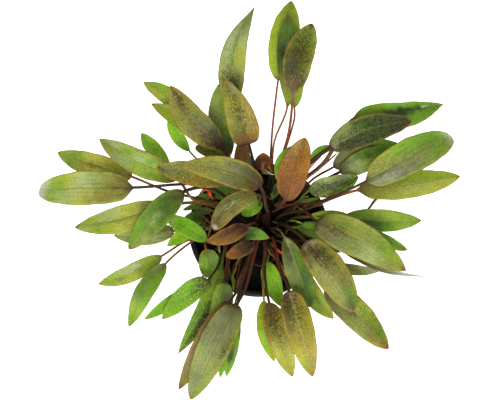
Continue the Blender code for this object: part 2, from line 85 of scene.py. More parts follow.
# Each leaf: ring and turn of its root, bend of the stalk or None, blade base, middle and tip on the
# plane, their heights, half widths left and right, share of the length where it is widest, sharpness of
# the tip, radius of the stalk. A turn is in degrees.
leafRows = {
    "n01": (2, 0, (5.6, 40), (7.8, 58.7), (10, 73.5), (13, 90), (78, 82, 76), (5.8, 5.8), .42, .76, .42),
    "n02": (1, 0, (6.3, 34.5), (11.4, 48), (11.1, 66), (11.5, 84.7), (83, 87.5, 83),
        (3.9, 4.4), .5, .75, .4),
    "n03": (0, 0, (12, 38), (13.8, 53.2), (16, 67.3), (21.2, 81), (90, 94, 90), (6, 5.7), .45, .68, .52),
    "n04": (3, 0, (14.3, 44), (14.2, 48), (14, 60), (14.5, 73), (66, 70, 66), (4.1, 4.1), .42, .75, .4),
    "n05": (3, -6, None, (-10.3, 50.5), (-9.5, 70.3), (-1.4, 88), (76, 82, 74), (5.1, 5.3), .26, 1.15, .6),
    "n06": (1, 0, (-1.9, 26.5), (-3.7, 33.3), (-7.5, 46), (-13.3, 59.2), (88, 92, 90),
        (6.4, 5.7), .26, .78, .75),
    "n07": (3, -12, None, (-11.5, 28.5), (-14.5, 43), (-15.5, 57.3), (70, 74, 72),
        (5.2, 4.6), .42, .8, .55),
    "n08": (2, 0, None, (-14.5, 32), (-26.5, 43), (-34.8, 56.5), (82, 86, 82), (6.1, 5.8), .4, .78, .7),
    "n09": (3, 8, None, (-27.5, 45), (-36.3, 52.5), (-45.3, 58), (66, 68, 62), (3.3, 3.7), .45, .8, .5),
    "n10": (3, -6, None, (-18, 32.5), (-31, 42.9), (-42.2, 49.4), (72, 74, 70), (3.7, 4.8), .42, .8, .55),
    "n11": (3, 4, (-25, 28.3), (-27.3, 30.8), (-32, 37.5), (-34.8, 46), (62, 64, 62),
        (3.1, 2.4), .45, .8, .4),
    "n12": (2, 63, (6.8, 9.4), (10.6, 11.5), (14, 23.5), (18.5, 36), (90, 95, 94), (5.8, 6), .43, .7, .7),
    "n13": (2, 40, None, (9.4, 17.6), (10.3, 25.7), (13.6, 32.8), (82, 85, 85), (3.7, 2.6), .42, .75, .45),
    "w12": (3, 0, None, (-34.8, 23.5), (-41.2, 31.2), (-46.2, 37.8), (61, 63, 59),
        (3.2, 3.2), .42, .75, .45),
    "w13": (2, 0, (-25.7, 11.6), (-31.8, 19.5), (-48.2, 26.8), (-62.8, 35.5), (75, 78, 71),
        (5.7, 5.1), .38, .8, .6),
    "w14": (1, 0, None, (-13, 18.8), (-27, 21.8), (-40.2, 24.4), (84, 86, 83), (5.2, 5.2), .42, .72, .7),
    "w15": (0, 74, (2.9, 9), (1, 16.3), (-14, 23.2), (-30.7, 25.2), (93, 98, 95), (6, 5.9), .38, .75, .9),
    "w20": (1, 0, None, (-20.2, -4), (-27.5, 0), (-36.5, 5), (70, 73, 70), (3.6, 3.7), .45, .7, .5),
    "w21": (1, 22, (-19.5, 16.3), (-29.5, 14.6), (-41.1, 4.2), (-51.2, -8), (83, 85, 77),
        (5.5, 5.3), .43, .68, .75),
    "w22": (0, 25, None, (-25, .5), (-30.8, -3), (-36, -6.8), (64, 66, 64), (2.8, 2.8), .42, .75, .4),
    "w23": (1, 6, (-18.5, 16.7), (-49.5, 16.3), (-68, 16.1), (-86.5, 15.4), (85, 86, 77),
        (7.2, 6.9), .45, .4, .6),
    "w24": (3, 0, (-36, 15), (-50, 20.6), (-65.5, 25.3), (-79.2, 30.2), (68, 70, 64),
        (5.3, 4.9), .4, .72, .55),
    "w25": (2, 0, (-24, 10.3), (-36.5, 9), (-54.3, 3.9), (-72.5, .6), (74, 76, 68),
        (6, 5.3), .42, .8, .65),
    "w26": (2, -10, None, (-33.4, -.8), (-45, -3.1), (-57, -2.6), (60, 61, 58), (3.8, 4.3), .38, .75, .45),
    "c16": (0, 0, None, (-.8, 13.4), (-11.2, 8.6), (-18, -.2), (87, 90, 85), (4.2, 4.3), .5, .5, .6),
    "c17": (1, -6, None, (-4.6, 1.2), (-11.8, -2.6), (-20.4, -5), (79, 81, 77), (3.5, 3.4), .42, .75, .55),
    "c18": (0, 40, None, (-9, -3), (-2.5, -1.8), (4.3, -3.6), (71, 73, 73), (2.8, 2.8), .42, .8, .45),
    "c19": (2, -29, None, (-2.2, -5.6), (-7, -8.4), (-12.7, -10.8), (74, 76, 73), (3, 3), .45, .65, .45),
    "s27": (2, 0, (-28, -4.6), (-38.3, -10.8), (-50.1, -17.5), (-63, -21.8), (64, 66, 59),
        (3.8, 3.7), .42, .75, .45),
    "s28": (2, -24, (-26.5, -5.2), (-36.7, -13.8), (-45.3, -25.3), (-51.2, -38.7), (69, 71, 63),
        (4, 3.8), .42, .8, .45),
    "s29": (2, 0, (-20.8, -5.5), (-20.6, -8), (-19.4, -13.3), (-20.6, -19.3), (58, 56.5, 54),
        (4.2, 4.2), .47, .6, .45),
    "s30": (2, 6, None, (-24, -21.5), (-35.5, -29.6), (-45.1, -35.8), (54, 54, 49),
        (2.7, 2.7), .42, .8, .4),
    "s31": (1, -49, (-15.2, -12), (-19.8, -20), (-28.4, -26.6), (-38, -35.5), (65, 65, 59),
        (4.1, 4.7), .34, .7, .45),
    "s32": (1, 15, None, (-14.8, -15.8), (-21.7, -33), (-31.6, -49.2), (58, 58, 51),
        (4, 3.6), .4, .8, .45),
    "s33": (0, 0, (-12.2, -14), (-13.6, -21), (-15.9, -34.5), (-21.8, -47.5), (68, 69, 62),
        (4.8, 3.8), .35, .8, .5),
    "s34": (0, 0, (-5, -23), (-8.5, -30), (-17.8, -48.6), (-26.8, -67.3), (84, 86, 78),
        (5.9, 7.2), .4, .66, .8),
    "s35": (1, 0, (-8, -23.5), (-11.3, -28.8), (-21.6, -46.1), (-31.5, -63.4), (77, 79, 71),
        (5.2, 4.6), .36, .75, .75),
    "s36": (2, 0, (-6.5, -22), (-8.6, -32), (-10.6, -46), (-12.6, -58.2), (70, 71, 64),
        (3, 2.8), .45, .75, .5),
    "s38": (1, 0, (2.6, -18), (4.3, -29.3), (8.3, -44.3), (13.5, -58.3), (76, 78, 70),
        (5.1, 4.5), .4, .7, .7),
    "s39": (2, 0, (8.6, -15), (12.2, -24.6), (16.8, -41.3), (21.5, -58.3), (83, 86, 78),
        (5.8, 5.8), .38, .7, .75),
    "s40": (2, 0, (1.7, -18), (2.2, -28.5), (2.6, -41), (6.3, -52.3), (69, 70, 63),
        (3.2, 3), .4, .75, .65),
    "s41": (3, 14, None, (3.8, -13), (5.9, -21.5), (8.8, -30.5), (59, 60, 58), (3.5, 4), .42, .75, .45),
    "s42": (1, 0, None, (10.3, -3.2), (15.6, -16.5), (20.5, -30.9), (74, 77, 72),
        (4.9, 5.1), .56, .62, .6),
    "e43": (1, 10, None, (18.8, -5), (29.3, -17.9), (38, -32), (85, 88, 84), (6.6, 7), .44, .52, .7),
    "e44": (2, 0, None, (26.8, -22.6), (39.4, -34.5), (51.4, -47.4), (76, 79, 70), (6, 6), .42, .72, .65),
    "e45": (3, 0, None, (17.5, -17), (22.3, -26.6), (29.7, -35.4), (64, 65, 61),
        (3.4, 4.2), .45, .75, .45),
    "e46": (0, 12, (18.5, 6.6), (23.2, 3), (41.3, -5.4), (58.3, -16.4), (88, 92, 85),
        (7.5, 7.4), .37, .74, .75),
    "e47": (2, 0, None, (33.8, 4.6), (48.5, 3.2), (64.3, 3.4), (73, 75, 69), (4.6, 4.6), .44, .75, .5),
    "e48": (3, 0, None, (42.5, -.8), (51, -4.9), (58.9, -8.4), (65, 66, 62), (2.3, 2.7), .42, .75, .45),
    "e49": (3, -12, (22, 9), (38.8, 15.2), (59, 17.4), (79.6, 20.8), (75, 78, 71), (5.8, 6), .39, .72, .6),
    "e50": (1, 0, (24, 10.7), (42.2, 18.6), (58.4, 27.6), (76.3, 36.3), (83, 86, 79),
        (7.4, 6.9), .48, .42, .7),
    "e51": (3, -12, None, (20.3, 15.2), (29.5, 16.9), (39.4, 20.6), (71.6, 73.9, 72.8),
        (4.1, 4.5), .42, .64, .45),
    "e52": (3, 0, (22, 20), (29.7, 24.4), (40, 30.3), (54.8, 33.9), (65, 67, 64),
        (4.5, 4.5), .4, .75, .45),
    "e53": (0, 0, (22, 27.5), (28.5, 32), (43.6, 39.2), (60.5, 42.6), (85, 88, 84),
        (6.1, 6.2), .41, .7, .9),
    "e54": (1, 5, (25.2, 25.4), (38.3, 43.8), (55, 45), (73, 49.3), (76, 79, 73), (5.1, 6.5), .4, .98, .9),
    "e55": (2, 15, (27, 19.8), (32, 22.4), (40.3, 26.4), (50, 32.5), (67.5, 69, 67),
        (4.1, 4.8), .44, .75, .6),
    "e65": (3, 0, None, (15.5, .6), (23, -1), (32.2, -9.5), (63, 64, 61), (3.5, 3), .42, .8, .45),
}

# Small leaves and slivers between the others, in the same form. They are too many for nodes of their own.
smallRows = {
    "n59": (2, 4, None, (-6.3, 17), (-6.4, 27), (-6.2, 36), (66, 70, 68), (3.2, 3.2), .5, .75, .5),
    "w60": (2, -10, None, (-5.5, 14.6), (-14.3, 17), (-22.8, 20.8), (71, 74, 73), (2.4, 2.4), .5, .7, .45),
    "w61": (2, 10, None, (-21.5, 10), (-25.5, 8.8), (-29.9, 7.4), (57, 58, 57), (1.2, 1.3), .45, .8, .35),
    "w62": (2, -20, None, (-18.4, 12.6), (-22.3, 12.2), (-26.6, 11.4), (59, 60, 59),
        (1.5, 1.5), .45, .8, .35),
    "w63": (1, 30, None, (-21.6, 4.4), (-25.2, 4), (-30, 2.5), (57, 58, 56), (2.9, 2.9), .42, .5, .35),
    "w64": (2, -12, None, (-18.6, 7.3), (-21.6, 7), (-25.3, 8), (58, 58, 57), (1.5, 1.6), .45, .6, .35),
    "w65": (3, -4, None, (-10.8, 12.2), (-14, 13.2), (-17.3, 12.9), (60, 61, 60), (1.9, 1.7), .5, .6, .35),
    "c64": (1, 40, None, (1, 10.8), (-2.8, 7.9), (-6.8, 6), (71, 72, 70), (2.9, 2.7), .48, .6, .4),
    "e54b": (3, 0, (17, 22), (20.6, 27.4), (24.3, 30.8), (29.3, 32.6), (66, 67, 66),
        (1.7, 1.6), .5, .6, .4),
    "e66": (3, 10, None, (20.5, 5), (28, 5.5), (34.8, 6), (66, 67, 66), (1.9, 1.7), .45, .7, .4),
    "e67": (3, 0, None, (25.5, -13.2), (37.5, -16.2), (48, -16.6), (58, 59, 56), (2.3, 2.3), .45, .75, .4),
    "e68": (2, 0, None, (34.5, -9.5), (49.5, -16.3), (67, -19.1), (64, 64, 60), (1.3, 1.2), .3, 1.1, .45),
    "s37": (3, 0, None, (-9.4, -30), (-12.8, -45.5), (-15.1, -58.8), (60, 61, 58), (2.7, 2.7), .5, .8, .4),
    "s43": (2, 30, None, (-14.7, -12), (-14.3, -16.5), (-13.6, -20.8), (55, 55, 54), (.9, .9), .5, .6, .3),
    "s44": (2, 40, None, (-11.7, -14.4), (-11.9, -18), (-12.7, -22), (56, 56, 55), (.8, .8), .5, .6, .3),
    "s45": (3, 0, None, (-10.1, -18), (-9.7, -21.3), (-9.5, -25.5), (60, 61, 60), (.6, .7), .5, .6, .3),
    "e69": (3, 6, None, (14.2, 9.3), (18.5, 10.9), (24.3, 12.2), (61, 62, 62), (.8, .9), .5, .7, .3),
    "n71": (3, 40, None, (1.4, 22.2), (2.6, 25.6), (5, 27.8), (75, 79, 78), (3.9, 1.7), .55, .42, .3),
    "n70": (3, 10, None, (-13.5, 28), (-19.5, 30.6), (-24.7, 32.6), (72, 75, 74), (2.6, 2.2), .5, .4, .45),
    "n69": (3, 30, None, (5.2, 12), (6.8, 15), (8.4, 18.5), (60, 61, 60), (1.7, 1.7), .5, .7, .35),
}

# The leaves that grow from the west crown. All others grow from the main one.
westLeaves = "w20 w22 w26 c18 s27 s28 s29 s30 s31 s32 s33 w61 w62 w63 w64 s43 s44".split()

# Paints, as sRGB values out of 255.
paints = {
    "bright": (122, 178, 34), "fresh": (108, 152, 34), "apple": (146, 176, 60), "lime": (154, 176, 38),
    "spring": (134, 160, 40), "leaf": (94, 130, 34), "forest": (64, 92, 30), "pine": (38, 56, 24),
    "sage": (138, 150, 78), "ash": (118, 124, 84), "mist": (172, 186, 128), "silver": (214, 216, 206),
    "pear": (122, 130, 36), "khaki": (150, 152, 70), "butter": (180, 186, 74), "gold": (162, 148, 48),
    "wheat": (172, 160, 84), "olive": (126, 122, 52), "moss": (92, 92, 34), "dusk": (80, 84, 46),
    "umber": (88, 74, 36), "cocoa": (80, 48, 24), "ochre": (128, 98, 40), "rust": (138, 84, 30),
    "amber": (166, 116, 44), "biscuit": (182, 146, 82), "bark": (58, 34, 22), "wine": (104, 42, 26),
    "brick": (144, 64, 34), "soot": (28, 20, 15), "straw": (214, 210, 96), "tan": (146, 120, 84),
    "ember": (222, 70, 28), "bone": (200, 188, 164), "vivid": (158, 214, 60),
}

# A leaf's look where its own line says nothing else, for all leaves and then for some slots: strengths
# of the brown mottling, the dark specks, the silvery streaks of painted sheen, the pale speckles, the
# midrib, the veins and the brown margin, how far the edges rise, the stalk's share of its thickness, and
# the share of the length up to which the blade widens slowly.
plainLook = {
    "mottle": 0.25, "specks": 0.25, "bleach": 0.0, "speckle": 0.0, "rib": 0.3, "veins": 0.5, "margin": 0.5,
    "cup": 0.10, "thin": 1.0, "neck": 0.0,
}
slotLooks = {
    "lime": {"margin": 1.0},
    "olive": {"mottle": 0.4, "specks": 0.8, "margin": 1.0},
    "rust": {"mottle": 0.5, "specks": 0.5},
}
# The third kind of mark is painted sheen: pale silvery streaks that stand for glints of light on the leaf.
markKinds = ("mottle", "specks", "bleach", "speckle")
lineKinds = ("rib", "veins", "margin")
leafLooks = {}


# Notes a leaf's look: its slot, and its colours from base to tip, with those of its left half behind a
# slash where they differ. A touch is a paint, or a kind of mark that it makes stronger, with its share
# of the length, its place across from -1 to 1, the sizes of both and its strength. The point is as brown
# as the margin, unless a tip is given.
def look(name, slot, colours, *touches, stalk="bark rust", **own):
    rightHalf, _, leftHalf = colours.partition(" / ")
    values = {**plainLook, **slotLooks.get(slot, {}), **own}
    leafLooks[name] = {
        "tip": values["margin"], **values, "slot": slot, "right": rightHalf.split(),
        "left": (leftHalf or rightHalf).split(), "stalk": stalk.split(), "touches": touches,
    }


look("n01", "lime", "spring lime spring spring / lime", ("olive", .95, 0, .07, .5, .6),
     ("pear", .85, .5, .12, .5, .5), stalk="soot soot wine brick rust", specks=.15)
look("n02", "dark_green", "lime pear forest forest leaf forest", ("pine", .5, .35, .1, .35, .8),
     ("sage", .6, -.2, .08, .35, .6), ("ash", .42, .2, .06, .25, .7), ("ochre", .97, 0, .04, 1, .7),
     stalk="soot soot wine rust rust", bleach=.1)
look("n03", "olive", "dusk moss pear pear spring apple spring / dusk dusk dusk moss pear spring spring",
     ("tan", .1, .1, .12, .5, .7), ("rust", .99, -.2, .05, .6, .6), ("moss", .5, -.1, .3, .2, .6),
     ("specks", .45, -.1, .35, .5, 1.2), stalk="soot soot soot brick brick tan", mottle=.3, rib=.1,
     neck=.14)
look("n04", "lime", "lime spring fresh leaf", stalk="soot soot rust rust", margin=.6)
look("n05", "grey_green", "khaki khaki butter mist mist apple / khaki khaki mist mist sage fresh",
     ("leaf", .5, .1, .4, .14, .6), ("olive", .1, 0, .1, .8, .5), ("leaf", .85, -.4, .2, .4, .6),
     ("specks", .1, 0, .12, .9, 1.5), stalk="bark leaf", mottle=.3, specks=.4, bleach=.25, margin=.8)
look("n06", "olive", "rust gold wheat wheat khaki mist sage / cocoa olive khaki butter khaki sage",
     ("rust", .06, 0, .1, 1.2, .5), ("amber", .4, -.95, .3, .2, .7), ("tan", .9, .1, .12, 1, .3),
     ("specks", .45, 0, .35, .35, .6), stalk="soot", mottle=.5, specks=.55, rib=.2, thin=.7)
# n07's soot and pine base is painted shade, where the leaves above cover it.
look("n07", "green", "soot forest fresh fresh apple apple / soot pine leaf sage mist bright",
     ("sage", .5, 0, .2, .4, .7), ("straw", .45, -.5, .03, .12, .9), ("apple", .85, .6, .2, .4, .7),
     stalk="bark leaf")
look("n08", "olive", "cocoa dusk ash sage wheat wheat gold / cocoa dusk khaki khaki wheat wheat",
     ("ash", .3, .1, .2, .7, .7), ("tan", .22, .2, .14, .4, .5), ("dusk", .12, -.4, .12, .5, .7),
     ("soot", .03, 0, .07, 1, .7), ("umber", .8, -.1, .15, .1, .9), ("bone", .84, -.02, .1, .05, .6),
     ("gold", .15, .85, .2, .3, .8), ("pear", .75, -.6, .25, .3, .7), ("gold", .45, -.9, .1, .2, .7),
     ("specks", .78, -.1, .16, .3, 1.6), ("specks", .12, .3, .14, .9, 1.3), stalk="soot bark", specks=.5,
     rib=.1, margin=.9)
look("n09", "green", "bright apple lime apple / bright apple butter butter",
     ("bright", .6, -.5, .3, .3, .6), stalk="leaf fresh", margin=.6)
look("n10", "green", "leaf pear apple gold / pear pear lime gold", ("fresh", .55, -.3, .15, .5, .7),
     stalk="leaf", margin=.9)
look("n11", "green", "bright vivid vivid apple", stalk="leaf fresh", mottle=.1, margin=.3)
look("n12", "rust", "cocoa rust amber amber biscuit / cocoa rust amber biscuit biscuit",
     ("amber", .5, -.1, .3, .3, .5), ("amber", .15, -.3, .15, .4, .6), stalk="soot bark cocoa", mottle=.6,
     specks=.7, rib=.4, margin=.8)
look("n13", "green", "leaf bright fresh", stalk="bark leaf")
look("w12", "green", "vivid", stalk="leaf", mottle=.1, specks=.1, margin=.3)
look("w13", "lime", "spring apple mist apple mist sage / pear apple apple mist khaki khaki",
     ("bright", .3, -.45, .14, .2, .8), ("pear", .12, .3, .12, .6, .8), ("rust", .35, -.9, .25, .2, .6),
     ("bright", .7, .1, .2, .3, .3), stalk="bark cocoa rust", margin=.9)
look("w14", "olive", "umber olive khaki khaki mist ash / umber olive gold khaki sage ash",
     ("pine", .94, .2, .1, .9, .5), ("sage", .78, -.2, .14, .6, .7), ("amber", .5, .9, .4, .25, .7),
     mottle=.5, specks=.7, margin=.9)
look("w15", "olive", "umber dusk ash khaki khaki khaki / umber moss ash khaki wheat khaki",
     ("sage", .55, -.1, .3, .4, .6), ("cocoa", .04, 0, .1, 1, .7), ("gold", .5, -.95, .45, .15, .8),
     ("khaki", .8, .4, .15, .4, .6), stalk="soot bark bark", mottle=.3, specks=.5, rib=.6, thin=.75,
     tip=.5)
look("w20", "green", "fresh bright bright", ("mist", .88, .3, .13, .6, .8), ("bright", .5, .2, .2, .4, .5),
     stalk="wine leaf", mottle=.1, margin=.2)
look("w21", "grey_green", "moss leaf leaf fresh fresh / forest leaf leaf sage sage",
     ("umber", .06, .2, .12, 1, .7), ("forest", .25, -.2, .15, .5, .6), ("mist", .5, .1, .1, .3, .5),
     ("forest", .3, .4, .2, .4, .6), stalk="soot bark", mottle=.3, specks=.3, margin=.7)
look("w22", "lime", "bright lime bright / bright", stalk="wine leaf", mottle=.1, margin=.3)
look("w23", "lime",
     "umber olive sage mist butter apple silver / umber khaki khaki butter mist apple silver",
     ("silver", .96, 0, .05, 1.3, .5), ("umber", .12, 0, .14, .18, .8), ("bright", .72, -.2, .08, .6, .5),
     ("bright", .85, .2, .05, .6, .5), ("ochre", .3, .5, .2, .3, .4), ("mist", .5, .1, .12, .5, .5),
     stalk="soot bark bark", mottle=.4, specks=.3, rib=.5, neck=.12, tip=0)
look("w24", "green", "khaki straw straw apple apple / gold straw straw apple apple",
     ("olive", .4, .1, .35, .12, .6), ("olive", .1, 0, .1, .8, .5), stalk="bark cocoa rust", mottle=.2,
     specks=.2, margin=.8)
look("w25", "lime", "pear khaki butter mist apple khaki / pear khaki butter apple mist",
     ("olive", .5, .05, .35, .14, .6), ("moss", .1, .2, .12, .8, .5), stalk="bark umber", mottle=.35,
     specks=.3, margin=.8)
# The dusk at the base of w26's right half is painted shade on that half.
look("w26", "grey_green", "dusk leaf sage mist / mist mist sage sage", ("umber", .12, .6, .2, .5, .6),
     ("mist", .85, 0, .1, .7, .5), stalk="bark wine", bleach=.15)
# c16's narrow mist streaks by the midrib are painted glints, and its silver tip is a painted highlight.
look("c16", "olive", "pear olive moss umber umber / olive khaki olive olive umber",
     ("mist", .45, -.1, .18, .1, .9), ("mist", .36, .25, .1, .07, .7), ("mist", .62, -.35, .12, .06, .6),
     ("silver", .95, .1, .04, .5, .9), ("pear", .75, -.6, .2, .3, .5), stalk="bark umber", mottle=.5,
     specks=.6, bleach=.1, rib=.4, margin=.5)
look("c17", "rust", "soot bark cocoa ochre ochre / soot cocoa ochre amber ochre",
     ("brick", .35, .05, .25, .12, .5), ("amber", .75, .6, .3, .4, .6), stalk="bark wine", mottle=.2,
     margin=.8)
look("c18", "green", "pine pine forest fresh leaf", ("fresh", .75, -.2, .15, .4, .7), stalk="bark leaf",
     mottle=.1)
look("c19", "brown_olive", "soot bark cocoa rust ochre", stalk="bark wine", mottle=.1)
look("s27", "lime", "apple apple mist apple apple / apple apple butter apple apple",
     ("leaf", .35, .1, .08, .4, .4), ("ash", .62, .2, .08, .2, .6), ("silver", .38, -.45, .035, .14, 1),
     stalk="rust", mottle=.3, bleach=.1, margin=.7)
look("s28", "green", "sage leaf leaf apple fresh / leaf fresh fresh apple fresh",
     ("ash", .1, -.5, .12, .6, .8), ("sage", .3, 0, .2, .1, .6), ("umber", .05, .3, .07, .7, .6),
     stalk="brick rust", mottle=.3)
look("s29", "lime", "pear fresh apple apple / moss leaf fresh apple", ("moss", .12, 0, .12, .5, .7),
     ("leaf", .3, .1, .2, .2, .6), margin=.4)
look("s30", "green", "fresh bright bright", stalk="leaf fresh", margin=.4)
look("s31", "green", "dusk bright fresh bright / forest fresh bright apple",
     ("forest", .15, 0, .2, .3, .7), ("speckle", .25, .1, .25, .6, .6), stalk="soot bark", speckle=.6,
     margin=.6)
# The pine patch on s32's left half is a painted shadow.
look("s32", "green", "apple apple fresh fresh apple / spring leaf forest forest fresh",
     ("moss", .02, 0, .16, 1.2, .6), ("pine", .55, .55, .16, .5, .8), ("lime", .3, -.2, .1, .5, .6),
     ("speckle", .3, 0, .15, .8, 1), stalk="bark leaf", speckle=.6)
look("s33", "grey_green", "fresh apple fresh fresh leaf / leaf sage sage leaf leaf",
     ("ash", .3, .3, .15, .4, .7), stalk="bark wine bark", bleach=.2)
look("s34", "grey_green", "dusk ash ash sage ash sage / dusk ash ash sage sage spring",
     ("umber", .03, 0, .06, 1, .7), ("pear", .33, .75, .25, .28, .8), ("tan", .38, .12, .2, .14, .25),
     ("moss", .45, .6, .12, .2, .6), ("specks", .42, .65, .14, .2, .9), stalk="soot wine bark", specks=.12,
     margin=.8, thin=.75)
look("s35", "brown_olive", "umber ochre ochre tan tan olive olive / umber ochre olive olive",
     ("biscuit", .55, -.95, .3, .18, .6), ("brick", .98, 0, .04, 2, .6), stalk="bark wine cocoa",
     mottle=.2, margin=.9, thin=.7)
# The pine patch on s36 is a painted shadow.
look("s36", "green", "leaf fresh leaf bright", ("pine", .65, .1, .15, .4, .8), stalk="soot bark cocoa",
     margin=.6)
look("s38", "olive", "umber olive khaki butter butter butter / umber gold khaki butter butter",
     ("ochre", .3, -.9, .35, .3, .7), ("umber", .1, .1, .1, .5, .6), ("moss", .25, -.1, .1, .3, .6),
     ("specks", .25, 0, .2, .6, 1.2), stalk="soot bark cocoa", specks=.45, rib=.4, margin=.9, thin=.8)
look("s39", "olive", "umber olive khaki gold butter gold / rust gold gold gold wheat gold",
     ("bone", .05, .1, .06, .5, .7), ("umber", .25, -.7, .25, .35, .8), ("rust", .07, -.2, .06, .5, .7),
     ("pear", .4, .5, .3, .4, .5), ("specks", .15, -.2, .22, .9, 1.4), stalk="brick wine bark", specks=.35,
     rib=-.3, margin=.9, thin=.8)
look("s40", "lime", "spring lime bright lime / spring spring lime lime", stalk="rust umber gold",
     margin=.8, thin=.7)
look("s41", "green", "bright vivid vivid bright", stalk="bark leaf", mottle=.1, margin=.3)
look("s42", "grey_green", "dusk dusk ash sage leaf fresh / ash ash leaf forest leaf forest",
     ("mist", .08, .2, .07, .6, .7), ("dusk", .2, -.4, .2, .3, .6), ("leaf", .35, .5, .2, .4, .6),
     stalk="bark tan", specks=.3, rib=-.35, thin=.7)
look("e43", "olive", "umber moss khaki khaki sage ash / wheat khaki khaki olive leaf leaf",
     ("bone", .05, .2, .06, .7, .5), ("cocoa", .24, .08, .18, .1, .8), ("moss", .3, .45, .16, .35, .8),
     ("gold", .38, .8, .12, .25, .6), ("cocoa", .12, -.8, .2, .2, .6), ("dusk", .93, -.2, .06, .6, .6),
     ("mist", .5, -.35, .35, .4, .35), ("specks", .27, .3, .16, .4, 1.3), ("specks", .2, -.1, .2, .2, 1.2),
     stalk="bark", mottle=.5, specks=.4, thin=.8, tip=.4)
look("e44", "olive", "umber ash sage sage khaki olive / umber olive apple pear leaf pear",
     ("bone", .36, .1, .1, .3, .5), ("cocoa", .34, .1, .025, .4, .8), ("umber", .42, -.15, .03, .25, .7),
     ("rust", .95, 0, .07, .8, .5), ("olive", .75, -.3, .1, .4, .6), stalk="wine umber", specks=.45,
     rib=.2)
look("e45", "lime", "leaf fresh apple gold / butter butter apple gold", ("leaf", .5, 0, .15, .25, .6),
     stalk="bark leaf")
look("e46", "grey_green", "umber ash sage mist khaki khaki / umber khaki khaki sage spring khaki",
     ("umber", .22, .05, .14, .1, .9), ("tan", .14, -.3, .1, .4, .6), ("leaf", .28, .45, .18, .3, .6),
     ("leaf", .6, .5, .2, .35, .5), ("sage", .5, -.5, .15, .3, .6), ("apple", .8, .1, .12, .5, .5),
     ("brick", .98, 0, .03, 2, .8), ("specks", .2, 0, .15, .5, .7), stalk="bark", mottle=.4, rib=.4,
     margin=1, thin=.7)
# The forest patch by e47's right margin is a painted shadow, cast by e46.
look("e47", "green", "forest leaf fresh apple apple / leaf apple apple apple apple",
     ("forest", .35, -.3, .12, .5, .8), ("butter", .6, .4, .12, .4, .4), stalk="bark leaf", rib=-.2,
     margin=.7)
look("e48", "green", "spring leaf fresh leaf", ("ochre", .92, 0, .09, 1, .7), stalk="bark leaf", margin=1)
look("e49", "lime", "olive khaki butter butter butter / umber pear spring spring spring",
     ("umber", .03, 0, .06, 1, .7), ("mist", .5, -.3, .2, .4, .3), stalk="bark cocoa rust", mottle=.4,
     specks=.35, thin=.9, neck=.14)
# e50's grey ash right half and its silver touches are painted sheen, on the half of the blade that tilts
# away.
look("e50", "lime", "ash ash ash sage spring sage / pear khaki spring leaf fresh mist",
     ("silver", .97, -.1, .05, .8, .6), ("sage", .45, -.1, .25, .5, .9), ("ash", .22, -.45, .24, .5, .9),
     ("silver", .2, -.5, .18, .3, .3), ("bright", .55, .7, .25, .35, .7), ("fresh", .85, .1, .1, .6, .7),
     ("fresh", .7, -.5, .1, .3, .6), ("khaki", .12, .5, .12, .5, .7), stalk="bark", mottle=.3, specks=.5,
     bleach=.1, thin=.8, neck=.12, tip=0)
look("e51", "grey_green", "ash sage leaf fresh / sage mist ash mist", ("lime", .6, -.9, .5, .34, 1),
     ("apple", .5, .95, .5, .2, .7), ("lime", .95, 0, .08, 1, .6), ("forest", .35, .1, .18, .35, .9),
     ("forest", .65, -.1, .16, .3, .8), stalk="bark leaf", mottle=.5, specks=1, bleach=.35, margin=.3)
look("e52", "dark_green", "ash dusk fresh fresh / ash moss fresh bright", ("sage", .3, .2, .14, .5, .7),
     ("pine", .55, .1, .14, .6, .7), stalk="bark wine", bleach=.2)
look("e53", "brown_olive", "moss dusk dusk moss dusk umber / ash ash leaf dusk dusk umber",
     ("bone", .05, .1, .05, .4, .7), ("sage", .16, .4, .14, .5, .7), ("forest", .55, .4, .2, .4, .6),
     ("gold", .4, .95, .2, .15, .7), ("forest", .45, -.5, .3, .4, .5), ("cocoa", .9, -.3, .1, .5, .5),
     stalk="soot bark bark", mottle=.4, specks=1, rib=-.2, margin=.8)
# The pine band across e54 is a painted shadow, cast by e53 above it.
look("e54", "green", "apple bright fresh leaf / bright bright fresh fresh", ("pine", .5, .22, .3, .34, 1),
     ("forest", .4, -.1, .12, .4, .7), ("silver", .78, .3, .035, .12, .8), ("rust", .97, 0, .03, 2, .7),
     ("lime", .2, .3, .12, .4, .6), stalk="bark cocoa rust", mottle=.35, margin=1)
# The pale sage and mist near the base of e55's right half, and its mist touch, are painted sheen.
look("e55", "green", "sage mist apple leaf leaf / dusk ash leaf leaf leaf", ("mist", .35, 0, .16, .3, .7),
     ("forest", .6, .2, .08, .5, .7), stalk="soot bark cocoa", bleach=.25)
look("e65", "dark_green", "forest leaf fresh leaf", ("bright", .2, .4, .1, .5, .6), stalk="leaf spring")
look("n59", "rust", "cocoa ochre ochre rust")
look("w60", "green", "forest leaf leaf", mottle=.2)
look("w61", "green", "forest leaf moss")
look("w62", "green", "forest leaf leaf", margin=.2)
look("w63", "green", "forest leaf fresh", margin=.2)
look("w64", "dark_green", "dusk dusk ash", margin=.1)
look("w65", "green", "forest leaf forest", margin=.2)
look("c64", "green", "leaf fresh leaf", mottle=.15, margin=.1)
look("s43", "green", "forest forest leaf")
look("s44", "dark_green", "forest forest pine")
look("s45", "lime", "fresh bright bright", margin=.5)
look("e54b", "green", "bright bright spring", margin=.2)
look("e66", "lime", "lime lime spring", margin=.5)
look("e67", "grey_green", "leaf sage mist", bleach=.4, margin=.1)
look("e68", "brown_olive", "soot umber ash silver silver", mottle=.3, bleach=.4, margin=.1)
look("e69", "green", "forest leaf fresh")
look("n69", "dark_green", "forest forest leaf")
look("n70", "olive", "umber spring pear", margin=.5)
look("s37", "green", "leaf bright bright", margin=.7)
